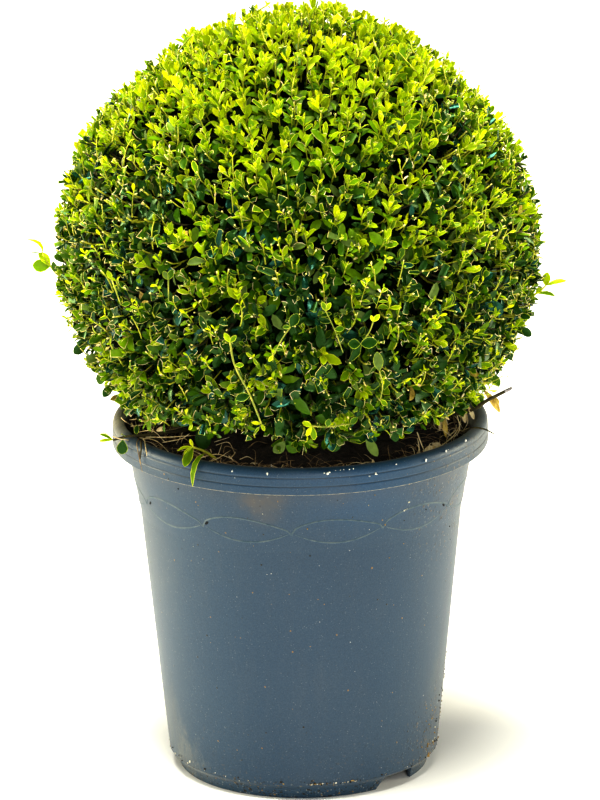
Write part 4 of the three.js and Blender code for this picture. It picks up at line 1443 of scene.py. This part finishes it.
sprigs = {
    "side_sprig_left": {
        "stem": [(-90, 168, 386), (-90, 184, 394), (-91, 191, 401), (-91, 197, 411)],
        "radii": [0.9, 0.8, 0.7, 0.5],
        "leaves": [  # stem node or place, direction, length, width, tone, facing, curl
            (2, (-1, -0.2, 0.12), 14, 10.5, "fresh", (0, -1, 0.3), 0.3),
            (2, (-0.6, 0.1, 0.9), 14, 8, "lime", (0.5, -0.8, 0.5), 0.5),
            (3, (0.1, 0, 1), 17, 6.5, "lime", (1, -0.35, 0.2), 1.7),
            (3, (-1, 0, 0.25), 10, 2.8, "mid", (0, 0, 1), 0.4),
            (2, (-0.9, 0.3, -1), 14, 3, "mid", (-0.8, 0.2, 1), -0.9),
            (1, (0.1, -0.5, -1), 14, 7, "deep", (-0.3, -1, 0.3), 0.3),
            (1, (-0.5, -0.2, 1), 13, 6.5, "mid", (-0.6, -0.7, 0.3), 0.3),
        ],
    },
    "side_sprig_right": {
        "stem": [(90, 166, 371), (90, 183, 376), (90, 190, 382)],
        "radii": [0.9, 0.8, 0.6],
        "leaves": [
            (2, (0.1, -0.1, 1), 11, 7, "lime", (-0.2, -1, 0.2), 0.3),
            (2, (0.92, 0, 0.42), 17, 5.5, "lime", (-0.3, -0.5, 1), 0.5),
            (1, (1, -0.1, 0.15), 15, 5, "fresh", (0.2, -0.5, 1), 0.7),
            (1, (0.4, -0.6, 0.8), 9, 4.5, "lime", (0, -1, 0.3), 0.2),
            (2, (0.7, 0.6, 0), 8, 4, "mid", (0, 0, 1), 0.3),
        ],
    },
    "low_left_shoot": {
        "stem": [
            (-66, 20, 281), (-66, 80, 281), (-66, 128, 281.5),
            (-66, 138, 282.4), (-67, 146, 281.6), (-69, 154, 278.5),
        ],
        "radii": [1.8, 1.6, 1.4, 1.2, 1.0, 0.8],
        "finish": "darkTwig",
        "replaces": "low_shoot_left",
        "leaves": [
            (5, (-1, 0.2, 0.62), 12, 3.8, "fresh", (0.3, -0.5, 1), 0.4),
            (5, (-1, 0, 0.02), 11, 3.6, "lime", (0, -0.6, 1), 0.3),
            (4, (-0.8, -0.2, -0.75), 11, 2.0, "mid", (-0.7, -0.2, 0.8), 0.5),
            ((-65.5, 149.5, 281), (-0.1, -0.1, -1), 12, 9, "deep", (0, -1, 0.1), 0.2),
            (3, (0.1, 0.2, 1), 8, 4.5, "deep", (-0.3, -1, 0), 0.3),
            (4, (-0.3, -0.5, 0.5), 6, 3, "fresh", (0, -0.4, 1), 0.3),
        ],
    },
    "low_front_shoot": {
        "stem": [(-37, 101, 266), (-37, 110, 274), (-37, 122, 282), (-37, 136, 289)],
        "radii": [1.3, 1.2, 1.1, 0.8],
        "replaces": "low_shoot_front",
        "leaves": [
            (3, (-0.35, -0.1, 1), 7, 2.8, "bud", (0, -1, 0.2), 0.3),
            (3, (-1, -0.1, 0.15), 13, 3.4, "lime", (0, -0.5, 1), 0.9),
            (3, (-1, -0.4, -0.5), 9, 3.4, "lime", (0, -0.6, 1), 0.3),
            (3, (-0.45, -0.66, -0.72), 17, 7.8, "fresh", (-0.3, -1, 0.6), 0.3),
            ((-33, 132, 284.5), (-0.62, -0.8, 0.14), 28, 5.2, "fresh", (0, 0, 1), 1.75),
        ],
    },
    "bare_right_twig": {
        "stem": [(88, 24, 281), (87, 80, 279.5), (86, 127, 283.6), (86, 146, 294), (86, 163, 303)],
        "radii": [2.0, 1.8, 1.6, 1.45, 1.25],
        "finish": "darkTwig",
        "slot": "bark",
        "replaces": "bare_twig_right",
        "leaves": [
            ((88, 141, 301), (0.75, -0.2, -0.8), 24, 6, "dead", (0.5, -1, 0.5), 0.5),
            ((87, 149, 296), (0.55, -0.4, -0.5), 8, 3.5, "dead", (0.1, -1, 0.8), 0.5),
            ((88, 134, 299), (0.75, -0.4, -0.7), 11.5, 7, "mid", (0.3, -1, 0.4), 0.4),
            ((87, 132, 291), (0.85, -0.4, -0.3), 9, 6, "deep", (0.1, -1, 0.8), 0.4),
        ],
    },
}


def growSprigs():
    for name, sprig in sprigs.items():
        nodes = [fromFront(*place) for place in sprig["stem"]]
        finish, slot = sprig.get("finish", "greenStem"), sprig.get("slot", "leaves")
        stem = makePiece(name + "_stem", limb(nodes, sprig["radii"]), finish)
        own = Leaves()
        for node, toward, length, width, toneName, face, curl in sprig["leaves"]:
            root = fromFront(*node) if isinstance(node, tuple) else nodes[node]
            handLeaf(own, root, toward, length, width, toneName, face, curl)
        layLeaves(name, own)
        if "replaces" in sprig:
            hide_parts(sprig["replaces"])
    before, tip = (fromFront(*place) for place in sprigs["bare_right_twig"]["stem"][-2:])
    end = unit(tip - before)
    stump = limb([tip - end * 5 * mm, tip, tip + end * 1.2 * mm], [1.42, 1.3, 1.0])
    makePiece("bare_twig_end", stump, "greyWood")


hemLeaves = [  # big leaves at the foot of the ball: place, direction, length, width, tone, facing
    ((-42, 112, 301), (0.05, -0.3, -1), 22, 13, "deep", (0.1, -1, -0.1)),
    ((-45, 113, 303), (-1, -0.1, -0.15), 20, 10, "pale", (0, -0.7, 1)),
    ((-47, 116, 309), (-0.5, -0.1, -1), 15, 8, "mid", (0.2, -1, 0.5)),
    ((-24, 127, 333), (-0.65, -0.1, -0.8), 21, 9.5, "pale", (0.4, -1, 0.5)),
    ((-27, 125, 318), (-0.3, -0.2, -1), 16, 9, "deep", (0.1, -1, 0.4)),
    ((-34, 118, 312), (-0.6, -0.2, -0.7), 17, 8, "deep", (0.2, -1, 0.5)),
    ((-5, 131, 300), (-0.75, -0.2, -0.8), 13, 9, "pale", (0.2, -1, 0.0)),
    ((-5, 131, 300), (0.75, -0.2, -0.7), 13, 9, "mid", (-0.2, -1, 0.1)),
    ((-12, 129, 313), (0.9, -0.1, -0.5), 20, 10.5, "blue", (0.2, -1, 0.9)),
    ((-14, 131, 320), (-0.4, -0.1, -1), 15, 9, "blue", (0.2, -1, 0.6)),
    ((22, 133, 303), (0.45, -0.3, -1), 20, 8, "pale", (-0.2, -1, 0.1)),
    ((21, 133, 304), (0.9, -0.2, -0.5), 12, 8, "blue", (0.1, -1, 0.5)),
    ((13, 134, 306), (-0.35, -0.2, -1), 16, 8, "deep", (0.1, -1, 0.4)),
    ((33, 131, 306), (0.1, -0.3, -1), 14, 8, "deep", (0, -1, 0.4)),
    ((41, 129, 307), (-0.2, -0.3, -1), 13, 8, "blue", (0, -1, 0.4)),
    ((58, 130, 311), (-0.15, -0.2, -1), 17, 7.5, "pale", (0.2, -1, 0.3)),
    ((-88, 134, 297), (-1, -0.2, 0.05), 13, 6.5, "dead", (0.2, -0.7, 1)),
    ((-84, 144, 312), (-0.7, -0.2, -0.8), 14, 7, "deep", (-0.2, -1, 0.3)),
    ((-86, 150, 322), (-0.5, 0.1, -1), 15, 8, "mid", (-0.4, -1, 0.2)),
    ((-88, 163, 342), (-0.8, 0, -0.6), 15, 8, "deep", (-0.1, -1, 0.3)),
    ((84, 147, 318), (0.6, -0.2, -0.8), 14, 7, "mid", (0.2, -1, 0.3)),
    ((87, 168, 352), (0.8, 0, -0.5), 14, 7, "deep", (0.1, -1, 0.4)),
]

# stems along the face of the ball: radius and places, then leaves: node, direction, length, width, tone
faceStems = [
    (0.9, [(-16, 189, 394), (-15, 188, 376), (-12, 181, 351), (-10, 169, 325)], [
        (0, (-0.5, -0.3, 1), 9, 4.5, "lime"),
        (0, (0.6, -0.4, 0.8), 8, 4, "fresh"),
        (1, (0.8, -0.6, 0.2), 8, 4, "fresh"),
        (2, (-0.9, -0.5, -0.1), 12, 7, "deep"),
        (3, (-1, -0.4, 0.3), 8, 3, "bud"),
        (3, (0.4, -0.4, -0.8), 6, 3, "lime"),
    ]),
    (0.6, [(-2, 190, 408), (-4, 190, 398), (-6, 188, 385)], [
        (0, (0.5, -0.2, 1), 12, 8, "deep"),
        (0, (-1, -0.3, 0.1), 6, 3.5, "mid"),
        (2, (-0.6, -0.5, -0.6), 6, 3, "lime"),
    ]),
    (0.5, [(6, 190, 420), (8, 190, 405), (10, 188, 386)], [
        (0, (-0.3, -0.3, 1), 8, 4, "fresh"),
        (0, (0.5, -0.3, 0.9), 8, 4, "lime"),
        (1, (1, -0.5, 0.3), 8, 5, "mid"),
    ]),
    (0.6, [(19, 184, 368), (20, 182, 356), (20, 177, 343)], [
        (0, (-0.1, -0.4, 1), 17, 8, "pale"),
        (2, (0.7, -0.5, -0.5), 7, 4, "fresh"),
    ]),
    (0.6, [(17, 190, 409), (16, 190, 401), (14, 189, 392)], [
        (0, (0.6, -0.3, 0.8), 8, 4, "lime"),
        (0, (-0.3, -0.4, 1), 6, 3, "bud"),
        (2, (1, -0.5, 0.3), 14, 9, "deep"),
        (2, (-1, -0.5, 0.2), 10, 8, "deep"),
    ]),
    (0.7, [(3, 167, 323), (7, 167, 322), (13, 167, 323)], [
        (0, (-0.8, -0.5, 0.5), 9, 4.5, "lime"),
        (0, (-0.5, -0.5, -0.8), 9, 4, "bud"),
        (0, (0.2, -0.5, -1), 11, 5, "fresh"),
        (1, (0.2, -0.6, 1), 8, 5, "mid"),
        (2, (0.6, -0.5, 0.7), 9, 5, "mid"),
    ]),
    (0.7, [(-48, 190, 428), (-45, 190, 410)], [
        (0, (-0.4, -0.3, 1), 8, 4, "lime"),
        (1, (0.8, -0.4, 0.3), 8, 4, "mid"),
    ]),
    (0.7, [(-31, 190, 438), (-31, 190, 420)], [
        (0, (0.4, -0.3, 1), 9, 5, "mid"),
        (0, (-0.5, -0.3, 1), 8, 5, "pale"),
    ]),
]


def growFaceStems(leaves):
    stems = []
    for radius, places, own in faceStems:
        nodes = [fromFront(*place) for place in places]
        stems.append(limb(nodes, [radius, radius * 0.9, radius * 0.8], 6))
        for node, toward, length, width, toneName in own:
            handLeaf(leaves, nodes[node], toward, length, width, toneName, (0, -1, 0.4), 0.3, 0.4)
    makePiece("face_stems", join(stems), "faceStem")


droop = {
    "count": 120,
    "depth": (4, 18),
    "length": (15, 24),
    "width": 0.52,
    "tones": {"deep": 0.42, "blue": 0.12, "mid": 0.32, "fresh": 0.14},  # and their shares
}


def droopLeaves(leaves):  # big dark leaves that hang round the foot of the ball
    count = droop["count"]
    angle = anyAngle(count)
    outward = direction(-0.52 - 0.15 * dice.random(count), angle)
    at = onBall(outward, ball["radius"] - between(droop["depth"], count) * mm)
    down = up * (0.1 + 0.9 * dice.random(count))[:, None]
    along = unit(outward * 0.7 - down + 0.9 * jitter(count, 3))
    face = unit(outward + up * 0.8 + 0.6 * jitter(count, 3))
    length = between(droop["length"], count) * mm
    toneOf = dice.choice([tone[name] for name in droop["tones"]], count, p=list(droop["tones"].values()))
    end = at + along * length[:, None]
    keep = aboveHem(at) & aboveHem(end, 3 * mm) & (outFrom(end) < ball["radius"] + 2 * mm)
    rimmed = 2 * (dice.random(count) < 0.6)
    chosen = [v[keep] for v in (at, along, face, length, droop["width"] * length)]
    leaves.add(*chosen, 0.3, 0.5, toneOf[keep], 1.0, rimmed[keep])
    for place, toward, size, width, toneName, facing in hemLeaves:
        handLeaf(leaves, fromFront(*place), toward, size, width, toneName, facing, 0.35, 0.3, 3)


foliage = Leaves()
growShoots(foliage)
growStalks(foliage)
growShadeLeaves(foliage)
droopLeaves(foliage)
growFaceStems(foliage)
growSprigs()
foliagePieces = layLeaves("ball_leaves", foliage)
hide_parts("foliage_ball")
print("ball grown")


studio = {
    "eye": (0, -6.5, 2.298),
    "pitch": 17.15,
    "roll": -0.6,
    "lens": 396,
    "world": 0.21,
    "contrast": 0.76,
    "floor": 14,
    "lights": {  # place, size, power and colour
        "overhead": ((-0.4, -0.8, 6.0), (3.2, 3.2), 880, (1.0, 0.98, 0.86)),
        "left_box": ((-3.0, 0.45, 0.62), (1.2, 1.2), 114, (1.0, 0.92, 0.66)),
        "right_box": ((3.0, 0.8, 0.5), (1.2, 1.2), 94, (1.0, 0.92, 0.67)),
        "front_box": ((0.9, -5.2, 2.0), (1.4, 1.4), 140, (1.0, 0.98, 0.88)),
    },
    "aim": (0, 0, 0.35),
}


def makeFloor():
    reach = studio["floor"]
    mesh = bpy.data.meshes.new("floor")
    corners = [(-reach, -reach, 0), (reach, -reach, 0), (reach, reach, 0), (-reach, reach, 0)]
    mesh.from_pydata(corners, [], [(0, 1, 2, 3)])
    finish, tools = newFinish("floor_paper")
    finishWith(tools, {"Base Color": (0.96, 0.96, 0.96), "Roughness": 0.9})
    mesh.materials.append(finish)
    floor = addObject("floor", mesh)


def makeLights():
    for name, (at, size, power, colour) in studio["lights"].items():
        light = bpy.data.lights.new(name, "AREA")
        light.shape = "RECTANGLE"
        light.size, light.size_y = size
        light.energy = power
        light.color = colour
        lamp = addObject(name, light)
        lamp.location = at
        lamp.rotation_euler = (Vector(studio["aim"]) - Vector(at)).to_track_quat("-Z", "Y").to_euler()
        lamp.visible_camera = False


def makeStudio():
    scene = bpy.context.scene
    scene.view_settings.view_transform = "Standard"
    scene.view_settings.gamma = studio["contrast"]
    scene.world = bpy.data.worlds.new("studio")
    scene.world.use_nodes = True
    back = scene.world.node_tree.nodes["Background"]
    back.inputs["Color"].default_value = (1, 1, 1, 1)
    back.inputs["Strength"].default_value = studio["world"]
    camera = bpy.data.cameras.new("camera")
    camera.lens = studio["lens"]
    eye = addObject("camera", camera)
    eye.location = studio["eye"]
    down = Euler((math.radians(90 - studio["pitch"]), 0, 0)).to_matrix()
    roll = Euler((0, 0, math.radians(studio["roll"]))).to_matrix()
    eye.rotation_euler = (down @ roll).to_euler()
    scene.camera = eye


makeLights()
makeFloor()
makeStudio()
print("studio made")
